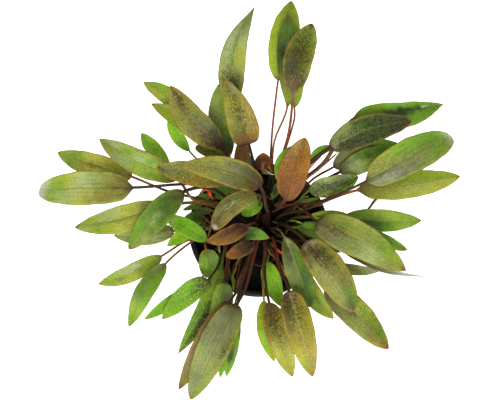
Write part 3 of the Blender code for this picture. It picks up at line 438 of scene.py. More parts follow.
look("n71", "rust", "umber tan wine brick ochre / soot bark bark cocoa ochre",
     ("biscuit", .38, .12, .22, .22, .7), ("rust", .75, .75, .25, .35, .7), stalk="soot", specks=.4, rib=0,
     veins=.3, margin=.6, cup=.5)


# A value's rise from 0 to 1 between two edges, level at both.
def smooth(value, low, high):
    share = np.clip((value - low) / (high - low), 0, 1)
    return share * share * (3 - 2 * share)


# The linear colour of a paint, by the sRGB curve.
def linear(name):
    value = np.array(paints[name]) / 255
    return np.where(value <= 0.04045, value / 12.92, ((value + 0.055) / 1.055) ** 2.4)


# Vectors divided by their lengths.
def unit(vectors):
    return vectors / np.linalg.norm(vectors, axis=-1, keepdims=True)


# The point at a height that lies on the line of sight through x, y on the plane.
def underView(x, y, height):
    ray = planOrigin + right * x + up * y - eye
    return eye + ray * (height - eye[2]) / ray[2]


# A straight blend of two points between two knots.
def mix(start, end, t, tStart, tEnd):
    return start + (end - start) * (t - tStart) / (tEnd - tStart)


# The way run along a polyline at each of its points: the sum of its steps' lengths, each to a power.
def runAlong(line, power=1.0):
    return np.concatenate([[0], np.cumsum(np.linalg.norm(np.diff(line, axis=0), axis=1) ** power)])


# Points of a polyline at shares of its length.
def resample(line, shares):
    run = runAlong(line)
    places = np.asarray(shares) * run[-1]
    return np.stack([np.interp(places, run, line[:, axis]) for axis in range(3)], axis=1)


# A curve through the points, by the centripetal Catmull and Rom rule, at shares of its length.
def smoothLine(points, shares):
    points = np.vstack([2 * points[0] - points[1], points, 2 * points[-1] - points[-2]])
    samples = []
    for first in range(len(points) - 3):
        p = points[first:first + 4]
        knots = runAlong(p, 0.5)
        t = np.linspace(knots[1], knots[2], growth["spanSamples"], endpoint=False)[:, None]
        if first == len(points) - 4:
            t = np.append(t, [[knots[2]]], axis=0)
        a = [mix(p[i], p[i + 1], t, knots[i], knots[i + 1]) for i in range(3)]
        b = [mix(a[i], a[i + 1], t, knots[i], knots[i + 2]) for i in range(2)]
        samples.append(mix(b[0], b[1], t, knots[1], knots[2]))
    return resample(np.vstack(samples), shares)


# The half width of a blade, as a share of its greatest: a power of the share times a power of the rest.
def bladeWidth(share, widest, sharpness):
    rise = sharpness * widest / (1 - widest)
    peak = widest ** rise * (1 - widest) ** sharpness
    return share ** rise * (1 - share) ** sharpness / peak


# The middle line of the stalk, then of the blade: a smooth curve from the root, which stands on a ring
# around the crown on the blade's side, over a steep rise and the bend, through the blade's three places.
def leafLines(crown, ring, turn, bend, places, heights):
    spine = np.array([underView(*place, height) for place, height in zip(places, heights)])
    centre = np.array(growth["crowns"][crown])
    way = math.atan2(spine[0][1] - centre[1], spine[0][0] - centre[0]) + math.radians(turn)
    radius = growth["rings"][crown][ring]
    foot = growth["rootHeight"]
    root = np.array([centre[0] + radius * math.cos(way), centre[1] + radius * math.sin(way), foot])
    climb = spine[0][2] - foot
    rise = root + (spine[0] - root) * growth["riseReach"]
    rise[2] = foot + climb * growth["riseClimb"]
    points = [root, rise]
    if bend is not None:
        reach = np.linalg.norm(spine[0][:2] - root[:2])
        share = np.clip(np.linalg.norm(np.array(bend) - root[:2]) / reach, *growth["bendRange"])
        points.append(underView(*bend, foot + climb * share ** growth["bendPower"]))
    dense = smoothLine(np.vstack([points, spine]), np.linspace(0, 1, growth["lineSamples"]))
    split = np.argmin(np.linalg.norm(dense - spine[0], axis=1))
    return dense[:split + 1], dense[split:]


# A new object in the scene, for a mesh, a lamp or a lens.
def addObject(name, data):
    made = bpy.data.objects.new(name, data)
    bpy.context.scene.collection.objects.link(made)
    return made


# The faces between the rings of a grid whose columns close round.
def ringFaces(rings, columns):
    ring, column = np.meshgrid(np.arange(rings - 1), np.arange(columns), indexing="ij")
    after = (column + 1) % columns
    return np.stack([ring * columns + column, ring * columns + after,
                     (ring + 1) * columns + after, (ring + 1) * columns + column], axis=-1)


# The points of a turned shape, from each ring's radius and height: a circle at each height.
def turned(radius, height, angles):
    return np.stack([radius[:, None] * np.cos(angles), radius[:, None] * np.sin(angles),
                     np.repeat(height[:, None], len(angles), axis=1)], axis=-1)


# A stack of grids' values in one row for each point, with the means of both end rings behind each grid.
def flatRows(values):
    ends = values[:, [0, -1]].mean(axis=2)
    return np.concatenate([values.reshape(len(values), -1, values.shape[-1]), ends], axis=1)


# A mesh from a stack of grids of points, each rings by columns, closed around each ring and by a fan at
# each end. Fields are arrays of three or four values for each grid point.
def closedGrid(name, grids, fields, material):
    count, rings, columns = grids.shape[:3]
    each = rings * columns + 2
    around = np.arange(columns)
    beside = (around + 1) % columns
    last = (rings - 1) * columns
    foot = np.stack([np.full(columns, each - 2), beside, around], axis=-1)
    top = np.stack([np.full(columns, each - 1), last + around, last + beside], axis=-1)
    starts = (np.arange(count) * each)[:, None, None]
    quads = ringFaces(rings, columns).reshape(-1, 4) + starts
    fans = np.vstack([foot, top]) + starts
    mesh = bpy.data.meshes.new(name)
    points = flatRows(grids).reshape(-1, 3) * mm
    mesh.from_pydata(points.tolist(), [], quads.reshape(-1, 4).tolist() + fans.reshape(-1, 3).tolist())
    mesh.polygons.foreach_set("use_smooth", np.ones(len(mesh.polygons), bool))
    for field, values in fields.items():
        kind, key = {3: ("FLOAT_VECTOR", "vector"), 4: ("FLOAT_COLOR", "color")}[values.shape[-1]]
        data = mesh.attributes.new(field, kind, "POINT").data
        data.foreach_set(key, flatRows(values).astype(np.float32).ravel())
    mesh.materials.append(material)
    return addObject(name, mesh)


# Colours at shares of a length, a straight blend between paints spaced evenly along it.
def along(names, share):
    stops = np.linspace(0, 1, len(names))
    values = np.array([linear(name) for name in names])
    return np.stack([np.interp(share, stops, values[:, band]) for band in range(3)], axis=-1)


# A leaf's fields: its paint, its place in millimetres, what part of it a point is, the strengths of its
# marks and of its lines. The bands of the two halves' colours are pushed about by slow sines, and each
# touch is a soft ellipse, strongest at its middle.
def leafFields(finish, share, climb, place, x, upper, length, phase, seed):
    shares = np.broadcast_to(share[:, None], x.shape)
    run = shares * length
    ones = np.ones(x.shape)
    drift, sway = [sum(np.sin(run * rate + place * slant + phase[which]) for rate, slant, which in waves)
                   for waves in (blade["driftWaves"], blade["swayWaves"])]
    bandShare = np.clip(shares + blade["drift"] * drift * shares * (1 - shares) * 4, 0, 1)
    bandPlace = place + blade["sway"] * sway
    leftward = smooth(place, -blade["halfBlend"], blade["halfBlend"])[None, :, None]
    tint = along(finish["right"], bandShare) * (1 - leftward) + along(finish["left"], bandShare) * leftward
    marks = ones[..., None] * np.array([finish[kind] for kind in markKinds])
    for kind, at, off, longer, wider, strength in finish["touches"]:
        if kind in markKinds:
            mask = np.exp(-((shares - at) / longer) ** 2 - ((place - off) / wider) ** 2)
            marks[..., markKinds.index(kind)] += strength * mask
        else:
            reach = ((bandShare - at) / longer) ** 2 + ((bandPlace - off) / wider) ** 2
            mask = np.exp(-reach ** blade["touchEdge"]) * strength
            tint = tint + (linear(kind) - tint) * mask[..., None]
    tint = tint + (linear("brick") - tint) * smooth(shares, *blade["tipBrown"])[..., None] * finish["tip"]
    stalkTint = along(finish["stalk"], np.broadcast_to(climb[:, None], x.shape))
    onBlade = smooth(shares, 0.0, blade["stalkEnd"])[..., None]
    tint = stalkTint * (1 - onBlade) + tint * onBlade
    return {
        "leafTint": np.concatenate([tint, ones[..., None]], axis=-1),
        "leafPlace": np.stack([run + seed * blade["seedStep"], x, place * ones], axis=-1),
        "leafPart": np.stack([1 - onBlade[..., 0], (upper > 0) * ones, shares], axis=-1),
        "leafMarks": marks,
        "leafLines": ones[..., None] * np.array([finish[kind] for kind in lineKinds]),
    }


# One leaf. Its section is a circle on the stalk and a thin lens on the blade, with a groove along the
# top of the midrib, a rib under it and shallow veins at quarters of the half width, its edges raised by
# the cup and by a slow wave. The blade's width follows bladeWidth and shrinks with its nearness to the
# eye, so that it looks as wide as it was measured.
def leafPiece(name, row, finish, seed):
    ring, turn, bend, base, middle, tip, heights, halves, widest, sharpness, stalk = row
    crown = "west" if name in westLeaves else "main"
    phase = np.random.default_rng(seed).uniform(0, fullTurn, 6)
    stalkLine, bladeLine = leafLines(crown, ring, turn, bend, (base, middle, tip), heights)
    length = runAlong(bladeLine)[-1]
    step = np.linspace(0, 1, blade["bladeRings"])
    bladeShares = 0.5 * step + 0.25 * (1 - np.cos(math.pi * step))
    stalkShares = np.linspace(0, 1, blade["stalkRings"], endpoint=False)
    centres = np.vstack([resample(stalkLine, stalkShares), resample(bladeLine, bladeShares)])
    share = np.concatenate([np.zeros(blade["stalkRings"]), bladeShares])
    climb = np.concatenate([stalkShares, np.ones(blade["bladeRings"])])
    shares = share[:, None]

    ways = unit(np.gradient(centres, axis=0))
    baseSide = np.cross(upright, ways[blade["stalkRings"]])
    stalkSide = baseSide - ways * (ways @ baseSide)[:, None]
    side = unit(np.where(shares > 0, np.cross(upright, ways), stalkSide))
    rise = np.cross(ways, side)
    twist = blade["twist"] * smooth(shares, 0, blade["twistFrom"]) * np.sin(fullTurn * shares + phase[0])
    side, rise = side * np.cos(twist) + rise * np.sin(twist), rise * np.cos(twist) - side * np.sin(twist)

    closeness = (centres - eye) @ ahead / view["distance"]
    width = bladeWidth(share, widest, sharpness) * closeness
    width = width * smooth(share, blade["neckFrom"], finish["neck"]) ** blade["neckPower"]
    stem = stalk * blade["stalkScale"] * finish["thin"] * (1 - blade["stalkTaper"] * share)
    stem = (stem + blade["stalkLeast"]) * (1 + blade["sheath"] * np.exp(-climb / blade["sheathReach"]))
    stem = (stem * (1 - smooth(share, blade["tipFrom"], 1.0) * blade["tipTaper"]))[:, None]
    spread = [np.sqrt((half * width[:, None]) ** 2 + stem ** 2) for half in halves]

    across = np.linspace(1, -1, blade["columns"] + 1)
    across = np.concatenate([across, across[::-1][1:-1]])
    upper = np.where(np.arange(len(across)) <= blade["columns"], 1.0, -1.0)
    place = across - blade["crowding"] * np.sin(fullTurn * across) / fullTurn
    off = np.abs(place)
    half = np.where(place > 0, *spread)
    flat = smooth(shares, 0, blade["flatFrom"])
    bearing = (1 - across) * math.pi / 2
    ripple = np.sin(length * shares * blade["rippleRate"] + phase[1] + across * 2)
    x = half * (np.cos(bearing) * (1 - flat) + place * flat) * (1 + blade["edgeRipple"] * ripple * flat)

    widthNow = np.maximum(*spread)
    wave = np.sin(fullTurn * blade["waves"] * shares + np.where(place > 0, phase[2], phase[3]))
    lift = finish["cup"] * widthNow * off ** blade["cupPower"] + blade["wave"] * widthNow * place ** 2 * wave
    full = blade["thinShare"] + (1 - blade["thinShare"]) * np.minimum(1, widthNow / blade["fullWidth"])
    thick = blade["thickness"] * np.sqrt(1 - off ** blade["bluntness"]) * full
    fade = 1 - blade["ribFade"] * shares
    groove = blade["groove"] * np.exp(-(x / blade["grooveWidth"]) ** 2) * fade
    rib = blade["ribDepth"] * stem * np.exp(-(x / (blade["ribWidth"] * fade + blade["ribLeast"])) ** 2)
    veinsOut = off * blade["veinsPerHalf"]
    offVein = (veinsOut - np.round(veinsOut)) * half / blade["veinsPerHalf"]
    vein = np.exp(-(offVein / blade["veinWidth"]) ** 2) * (off > blade["veinFrom"])
    vein = vein * blade["veinDepth"] * (1 - shares)
    lens = lift + np.where(upper > 0, thick - groove - vein, -thick - rib - vein)
    y = np.sin(bearing) * upper * stem * (1 - flat) + lens * flat
    grid = centres[:, None] + side[:, None] * x[..., None] + rise[:, None] * y[..., None]
    fields = leafFields(finish, share, climb, place, x, upper, length, phase, seed)
    fields = {field: values[None] for field, values in fields.items()}
    piece = closedGrid("leaf_" + name + "_surface", grid[None], fields, leafMaterials[finish["slot"]])
    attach(piece, "root")
    return piece


# Many strands as one piece: stalk stubs or dead scraps. Each row holds the strand's places on the plane
# with their heights, its half width and half thickness at both ends, and its paints. A strand is a tube
# along a smooth curve, level across, with lumps that swell and shrink it by a few ripples.
def strandsPiece(name, rows, slot, seed):
    random = np.random.default_rng(seed)
    share = np.linspace(0, 1, strand["rings"])
    angle = np.linspace(0, fullTurn, strand["columns"], endpoint=False)
    grids, tints, places = [], [], []
    for points, halves, paintNames in rows:
        line = smoothLine(np.array([underView(*point) for point in points]), share)
        ways = unit(np.gradient(line, axis=0))
        level = np.cross(upright, unit(line[-1] - line[0]))
        level = level / max(np.linalg.norm(level), strand["leastLevel"])
        side = unit(level - ways * (ways @ level)[:, None])
        rise = np.cross(ways, side)
        ends = np.sqrt(np.clip(1 - (2 * share - 1) ** strand["endSharpness"], strand["endLeast"], 1))
        wave = np.sin(share * random.uniform(*strand["lumpRate"]) + random.uniform(*strand["lumpStart"]))
        swell = ends * (1 + strand["lump"] * wave)
        wide = (np.interp(share, [0, 1], halves[:2]) * swell)[:, None]
        thick = (np.interp(share, [0, 1], halves[2:]) * swell)[:, None]
        grids.append(line[:, None] + side[:, None] * (wide * np.cos(angle))[..., None]
                     + rise[:, None] * (thick * np.sin(angle))[..., None])
        shares = np.broadcast_to(share[:, None], grids[-1].shape[:2])
        tints.append(along(paintNames.split(), shares))
        run = shares * strand["paintLength"] + random.uniform(*strand["paintStart"])
        places.append(np.stack([run, shares * 0, shares * 0], axis=-1))
    ones = np.ones((*np.shape(tints)[:3], 1))
    fields = {
        "leafTint": np.concatenate([tints, ones], axis=-1),
        "leafPlace": np.array(places),
        "leafPart": ones * [1.0, 1.0, 0.0],
        "leafMarks": ones * np.zeros(4),
        "leafLines": ones * np.zeros(3),
    }
    piece = closedGrid(name, np.array(grids), fields, leafMaterials[slot])
    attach(piece, "root")
    print(name, "made of", len(rows), "strands")


# A socket in a sum: each operator adds a Math node and gives its output, so 1 - mask is a node too.
class Wire:
    def __init__(self, sheet, socket):
        self.sheet = sheet
        self.socket = socket

    # A Math node on this socket and the others.
    def math(self, operation, *others):
        values = dict(enumerate((self, *others)))
        return self.sheet.node("ShaderNodeMath", {"operation": operation}, values)

    def __add__(self, other):
        return self.math("ADD", other)

    def __sub__(self, other):
        return self.math("SUBTRACT", other)

    def __rsub__(self, other):
        return self.sheet.node("ShaderNodeMath", {"operation": "SUBTRACT"}, {0: other, 1: self})

    def __mul__(self, other):
        return self.math("MULTIPLY", other)

    def __truediv__(self, other):
        return self.math("DIVIDE", other)

    def __abs__(self):
        return self.math("ABSOLUTE")

    __radd__ = __add__
    __rmul__ = __mul__

    # From 0 to 1 between two edges, level at both.
    def smooth(self, low, high):
        return self.sheet.node("ShaderNodeMapRange", {"interpolation_type": "SMOOTHSTEP"},
                               {"Value": self, "From Min": low, "From Max": high})


# A material's node sheet: one method adds any node, the others name the common ones.
class Sheet:
    def __init__(self, name):
        self.material = bpy.data.materials.new(name)
        self.material.use_nodes = True
        self.tree = self.material.node_tree
        self.shader = self.tree.nodes["Principled BSDF"]

    # Links a wire to a socket, or sets the socket's value.
    def feed(self, socket, value):
        if isinstance(value, Wire):
            self.tree.links.new(value.socket, socket)
        else:
            socket.default_value = value

    # Any node, from its type, its settings, and the values or links of its sockets.
    def node(self, kind, settings, values, output=0):
        made = self.tree.nodes.new(kind)
        for key, value in settings.items():
            setattr(made, key, value)
        for key, value in values.items():
            self.feed(made.inputs[key], value)
        return Wire(self, made.outputs[output])

    def attribute(self, name, output="Vector"):
        return self.node("ShaderNodeAttribute", {"attribute_name": name}, {}, output)

    # The three numbers of a vector, each by a node of its own.
    def parts(self, vector):
        return [self.node("ShaderNodeSeparateXYZ", {}, {0: vector}, band) for band in range(3)]

    def pair(self, first, second):
        return self.node("ShaderNodeCombineXYZ", {}, {"X": first, "Y": second})

    def object(self):
        return self.node("ShaderNodeTexCoord", {}, {}, "Object")

    def noise(self, vector, scale, detail=2.0, distortion=0.0):
        return self.node("ShaderNodeTexNoise", {},
                         {"Vector": vector, "Scale": scale, "Detail": detail, "Distortion": distortion})

    def blend(self, factor, first, second, kind="MIX"):
        return self.node("ShaderNodeMix", {"data_type": "RGBA", "blend_type": kind},
                         {0: factor, 6: first, 7: second}, 2)

    def scaled(self, vector, amounts):
        return self.node("ShaderNodeVectorMath", {"operation": "MULTIPLY"}, {0: vector, 1: amounts})

    # Ends the material: its colour, its roughness and its relief, whose height is worth the depth.
    def finish(self, colour, roughness, height, depth, specular):
        bump = self.node("ShaderNodeBump", {}, {"Height": height, "Distance": depth * mm, "Strength": 1.0})
        values = {"Base Color": colour, "Roughness": roughness, "Normal": bump,
                  "Specular IOR Level": specular}
        for key, value in values.items():
            self.feed(self.shader.inputs[key], value)
        return self.material


# A paint's linear colour, made stronger or weaker, as a node takes it.
def colour(name, strength=1.0):
    return (*(linear(name) * strength), 1.0)


# A leaf's finish. Its paint is the leafTint field. Brown mottling, dark specks, pale speckles and silvery
# streaks of painted sheen are noises above a level that each leaf's marks set. The midrib, the veins at
# quarters of the half width, the slanting cross veins and the thin brown margin are distances from those
# lines. Scales are for the place on the leaf in millimetres, or for the place in space in metres. The
# edges are where each noise or distance starts and ends its rise, and the layers are the strengths of the
# coats of paint, from the lowest one up.
leafLook = {
    "mottleSize": 430.0, "zoneSize": 120.0, "slantSize": 260.0, "fibreSize": 1500.0, "grainSize": 1.7,
    "netSize": 1.25, "specksSize": 1.5, "curlSize": 1.0, "blotSize": 0.75, "speckleSize": 1.3,
    "streakSize": 1.6, "streakRun": 0.07, "streakSide": 4.4, "sideScale": 1.25,
    "crossVeins": 0.85, "crossSlant": 0.75, "crossWander": 1.6, "specular": 0.24, "bump": 0.12,
    "darkShade": (0.36, 0.46, 0.30, 1), "lightShade": (1.50, 1.36, 1.15, 1),
    "underShade": (0.85, 0.72, 0.8, 1),
}
leafEdges = {
    "mottle": (0.50, 0.72), "room": (0.60, 1.05), "specks": (0.54, 0.62), "curls": (0.01, 0.10),
    "blots": (0.54, 0.60), "speckle": (0.64, 0.69), "streaks": (0.42, 0.70), "net": (0.0, 0.16),
    "veins": (0.0, 0.30), "cross": (0.5, 1.0), "rib": (0.084, 0.476), "margin": (0.02, 0.504),
    "halo": (0.2, 1.4),
}
leafLayers = {
    "net": 0.35, "mottle": 0.6, "streaks": 0.42, "specks": 0.8, "speckle": 0.9, "veins": 0.22, "cross": 0.12,
    "rib": 0.8, "paleRib": -0.8, "halo": 0.6, "margin": 1.0,
}


# Coats of paint, each blended over the last by its amount times its strength, on all but the stalk. The
# stalk has its own fibres instead, and the finish lies low in the veins, the specks and the midrib.
def leafMaterial(name, brown, dark, edging, warm, gloss):
    sheet = Sheet(name)
    tint = sheet.attribute("leafTint", "Color")
    run, side, place = sheet.parts(sheet.attribute("leafPlace"))
    stalk, top, share = sheet.parts(sheet.attribute("leafPart"))
    mottle, specks, bleach = sheet.parts(sheet.attribute("leafMarks", "Color"))
    speckle = sheet.attribute("leafMarks", "Alpha")
    rib, veins, margin = sheet.parts(sheet.attribute("leafLines"))
    spot = sheet.object()
    onLeaf = sheet.pair(run, side * leafLook["sideScale"])
    leafOnly = 1 - stalk

    across = abs(place)
    halfWidth = abs(side) / across.math("MAXIMUM", 0.02)
    edge = halfWidth - abs(side)
    fade = (1.15 - share).math("MAXIMUM", 0.2)
    ribLine = 1 - (abs(side) / fade).smooth(*leafEdges["rib"])
    nearRib = 1 - across.smooth(0.0, 0.75)
    veinsOut = across * blade["veinsPerHalf"]
    offLine = abs(veinsOut - veinsOut.math("ROUND")) * halfWidth / blade["veinsPerHalf"]
    inner = across.smooth(0.1, 0.2) * (1 - across.smooth(0.8, 0.9))
    veinLine = (1 - offLine.smooth(*leafEdges["veins"])) * inner * veins
    wander = (sheet.noise(spot, leafLook["slantSize"]) - 0.5) * leafLook["crossWander"]
    slant = run - abs(side) * leafLook["crossSlant"] + wander
    beat = (slant * (fullTurn / leafLook["crossVeins"])).math("SINE")
    crossLine = beat.smooth(*leafEdges["cross"]) * veins

    streakPlace = sheet.pair(run * leafLook["streakRun"], place * leafLook["streakSide"])
    streaks = sheet.noise(streakPlace, leafLook["streakSize"], 4.0)
    zones = sheet.noise(spot, leafLook["zoneSize"], 3.0)
    cloud = sheet.noise(spot, leafLook["mottleSize"], 5.0, 0.6)
    grain = sheet.noise(onLeaf, leafLook["grainSize"], 2.0)
    fine = sheet.noise(onLeaf, leafLook["specksSize"], 4.0, 0.5)
    cells = sheet.node("ShaderNodeTexVoronoi", {"feature": "DISTANCE_TO_EDGE"},
                       {"Vector": onLeaf, "Scale": leafLook["netSize"]})
    net = (1 - cells.smooth(*leafEdges["net"])) * veins
    curl = sheet.noise(onLeaf, leafLook["curlSize"], 3.0, 0.6)
    curls = 1 - abs(curl - 0.5).smooth(*leafEdges["curls"])
    blots = sheet.noise(onLeaf, leafLook["blotSize"], 4.0, 0.8).smooth(*leafEdges["blots"])
    crowd = zones.smooth(0.35, 0.65) * 0.6 + nearRib * 0.4
    room = (crowd + specks * 0.35 + cloud * 0.7).smooth(*leafEdges["room"])
    dots = (fine.smooth(*leafEdges["specks"]) * 0.75 + curls * 0.7 + blots * 0.75).math("MINIMUM", 1.0)
    dots = (dots * room * specks).math("MINIMUM", 1.0)
    patch = (cloud + mottle * 0.14 + nearRib * 0.04).smooth(*leafEdges["mottle"]) * mottle
    pale = sheet.noise(onLeaf, leafLook["speckleSize"], 1.0).smooth(*leafEdges["speckle"]) * speckle
    # Painted sheen: pale silvery streaks that stand for glints of light along the leaf.
    silvery = streaks.smooth(*leafEdges["streaks"]) * bleach
    halo = (1 - edge.smooth(*leafEdges["halo"])) * margin * cloud.smooth(0.3, 0.7)
    rim = (1 - edge.smooth(*leafEdges["margin"])) * margin * (0.4 + fine.smooth(0.35, 0.6) * 0.5)

    darker = sheet.blend(1.0, tint, leafLook["darkShade"], "MULTIPLY")
    lighter = sheet.blend(1.0, tint, leafLook["lightShade"], "MULTIPLY")
    tone = (streaks.smooth(0.30, 0.70) * 0.16 + grain.smooth(0.32, 0.68) * 0.48
            + cloud.smooth(0.35, 0.65) * 0.36)
    shade = sheet.blend(0.30 - mottle * 0.2, sheet.blend(tone, darker, lighter), tint)
    layers = {
        "net": (net, darker), "mottle": (patch, brown), "streaks": (silvery, colour("silver", 0.75)),
        "specks": (dots, dark), "speckle": (pale, colour("straw", 1.1)), "veins": (veinLine, dark),
        "cross": (crossLine, dark), "rib": (ribLine * rib, colour("cocoa")),
        "paleRib": (ribLine * rib, colour("mist")), "halo": (halo, warm), "margin": (rim, edging),
    }
    for layer, (amount, paint) in layers.items():
        shade = sheet.blend(amount * leafOnly * leafLayers[layer], shade, paint)
    shade = sheet.blend((1 - top) * leafOnly * 0.45, shade, leafLook["underShade"], "MULTIPLY")
    fibres = sheet.noise(sheet.scaled(spot, (1.0, 1.0, 0.3)), leafLook["fibreSize"], 3.0)
    shade = sheet.blend(stalk * fibres.smooth(0.40, 0.70) * 0.6, shade, dark)

    roughness = gloss + cloud * 0.16 + patch * 0.15 - bleach * streaks * 0.08 - stalk * 0.04
    height = (0.5 - veinLine * 0.5 - crossLine * 0.25 + grain * 0.3 + cloud * 0.3 - net * 0.25
              - dots * 0.3 - ribLine * 0.4)
    return sheet.finish(shade, roughness, height, leafLook["bump"], leafLook["specular"])


# The finish of each kind of leaf: its name, its brown, its dark, its edging and its warm halo, each a
# paint with a strength where that isn't 1, and its roughness.
leafKinds = {
    "lime": ("yellow_green", ("olive", .8), ("moss", .5), ("rust",), ("lime",), .42),
    "green": ("green", ("moss", .8), ("pine", .7), ("rust", .8), ("bright",), .42),
    "dark_green": ("dark_green", ("umber", .6), ("soot",), ("moss",), ("forest",), .42),
    "grey_green": ("grey_green", ("pear", .7), ("pine", .7), ("rust", .9), ("spring",), .44),
    "olive": ("olive", ("ochre", .7), ("umber", .3), ("rust",), ("gold",), .46),
    "brown_olive": ("brown_olive", ("moss", .7), ("pine", .35), ("rust",), ("olive",), .46),
    "rust": ("rust_brown", ("brick", .7), ("cocoa", .7), ("rust",), ("amber",), .48),
}
leafMaterials = {}
for kind, (title, *tints, gloss) in leafKinds.items():
    leafMaterials[kind] = leafMaterial(title + "_leaf", *[colour(*paint) for paint in tints], gloss)

for seed, (name, row) in enumerate({**leafRows, **smallRows}.items()):
    piece = leafPiece(name, row, leafLooks[name], seed)
    if name in leafRows:
        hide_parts("leaf_" + name)
print("leaves made:", len(leafRows), "with nodes and", len(smallRows), "small ones")

# Small pieces of the crown: stubs and stalks of leaves that show only here, dead scraps, and vivid red
# stubs. Each row: places on the plane with heights, half widths at both ends and half thicknesses at
# both ends, paints.
crownStalks = [
    (((2.5, -3, 56), (-1.5, -7, 58), (-4.5, -13, 60), (-7.2, -18, 61), (-9.6, -25.5, 62)),
     (.5, .4, .4, .3), "bark cocoa bark"),
    (((-2, -6, 54), (-5.5, -8.5, 56), (-8.2, -13, 57), (-9.3, -17, 57), (-10.8, -20.5, 56)),
     (.4, .3, .35, .3), "bark olive khaki cocoa"),
    (((-13, -3, 55), (-15.4, -6.5, 58), (-15.2, -9.5, 58), (-14.9, -12.5, 57)), (.4, .4, .35, .3),
     "bark tan olive"),
    (((-10, -6, 52), (-12.3, -12.5, 55), (-13, -16, 55), (-13.8, -19.2, 54)), (.35, .3, .3, .3),
     "bark wine brick"),
    (((2.8, -4, 60), (4.2, -9, 58), (6.2, -11.6, 56), (3.7, -13.6, 55)), (.2, .15, .2, .12),
     "wine tan wine"),
    (((4.5, -5, 60), (6.9, -7.6, 60), (9.3, -9.8, 59)), (.5, .45, .4, .35), "bark brick ember"),
    (((-1.4, -13.9, 55), (.2, -14.6, 55), (1.9, -14.4, 55)), (.16, .14, .15, .12), "wine brick"),
    (((7.3, -10.5, 58), (9.2, -15, 58), (10.7, -18.4, 57)), (.35, .45, .3, .35), "wine tan biscuit"),
    (((2.2, -3.5, 62), (2.7, -9, 66), (2.5, -14.5, 68)), (.6, .5, .5, .4), "soot wine bark"),
    (((6.2, -4.4, 62), (8.2, -4.9, 62), (10.6, -6.4, 61)), (.2, .18, .2, .15), "bark umber"),
    (((-.3, -6.8, 62), (-1.4, -9.5, 62), (-2.8, -12.8, 61)), (.3, .25, .25, .2), "ash dusk"),
    (((5, 3, 60), (9.5, 2, 60), (15, 0, 59)), (.5, .4, .4, .3), "soot bark"),
    (((4, 1, 58), (8, -2.5, 59), (13, -4.2, 59), (18, -5, 60)), (.5, .4, .4, .3), "soot bark cocoa"),
    (((7, 8.2, 62), (11, 9.2, 62), (15.2, 9.9, 62)), (.5, .4, .4, .3), "bark wine"),
    (((16.6, 8.2, 61), (21, 9.9, 62), (25.5, 11.4, 62)), (.35, .3, .3, .3), "bark brick wine"),
    (((15.5, 7.6, 61), (20, 8.6, 62), (25.8, 9.6, 62)), (.4, .35, .3, .3), "bark cocoa rust"),
    (((14.2, 9.5, 64), (16.9, 7.7, 64), (20.2, 5.4, 63)), (.2, .18, .2, .15), "umber tan"),
    (((11.8, 3.4, 62), (14.8, 3, 63), (17.8, 1.9, 63)), (.3, .25, .3, .2), "umber spring straw"),
    (((14.4, -2.3, 60), (19, -2.5, 61), (23, -2.9, 62), (25.2, -4.2, 62)), (.25, .2, .2, .15),
     "bark rust amber"),
    (((50, 15, 66), (46.2, 11.5, 66), (43.7, 8.2, 66), (40, 3.5, 65)), (.55, .5, .4, .4),
     "amber rust amber"),
    (((16, 19.5, 66), (20.2, 24, 67), (22.8, 26.8, 68), (25.3, 29.4, 69)), (.32, .26, .3, .25),
     "bark brick rust"),
    (((12, 13, 66), (19.8, 20.4, 69), (25.8, 25.2, 71), (31.4, 30.2, 72)), (.45, .3, .4, .3),
     "bark brick rust rust"),
    (((-35.5, 1.3, 60), (-34.2, 1.6, 60), (-32.6, 2.2, 60)), (.16, .14, .15, .12), "tan umber"),
    (((-1.5, 3, 60), (-3.5, 7.5, 60), (-2.6, 11.5, 60)), (.4, .3, .3, .3), "soot bark"),
    (((3.5, 7.5, 60), (2.6, 11, 62), (.5, 14, 63)), (.5, .4, .4, .3), "soot bark"),
    (((5, 6.5, 60), (7.5, 7.6, 60), (10.5, 8.8, 60)), (.4, .3, .3, .3), "soot wine"),
    (((-2.8, -8.3, 61), (-4.8, -12.7, 62), (-6.7, -18.1, 62), (-8.4, -24.1, 61)), (.38, .3, .3, .25),
     "soot bark soot"),
    (((-6.7, -11.7, 60), (-8.2, -18.1, 61), (-9.2, -23.1, 61)), (.35, .28, .3, .25), "bark cocoa bark"),
    (((-8.7, -12.7, 57), (-11.2, -19.1, 58), (-11.9, -20.6, 58)), (.35, .3, .3, .25), "bark wine bark"),
    (((-1.3, -7.8, 63), (-4.5, -14, 64), (-7.7, -20.1, 64), (-8.7, -24.6, 63)), (.3, .22, .25, .2),
     "soot bark tan"),
    (((3.6, -5.3, 60), (6.6, -11.2, 61), (9.5, -20.1, 61)), (.4, .35, .35, .3), "bark wine bark"),
]
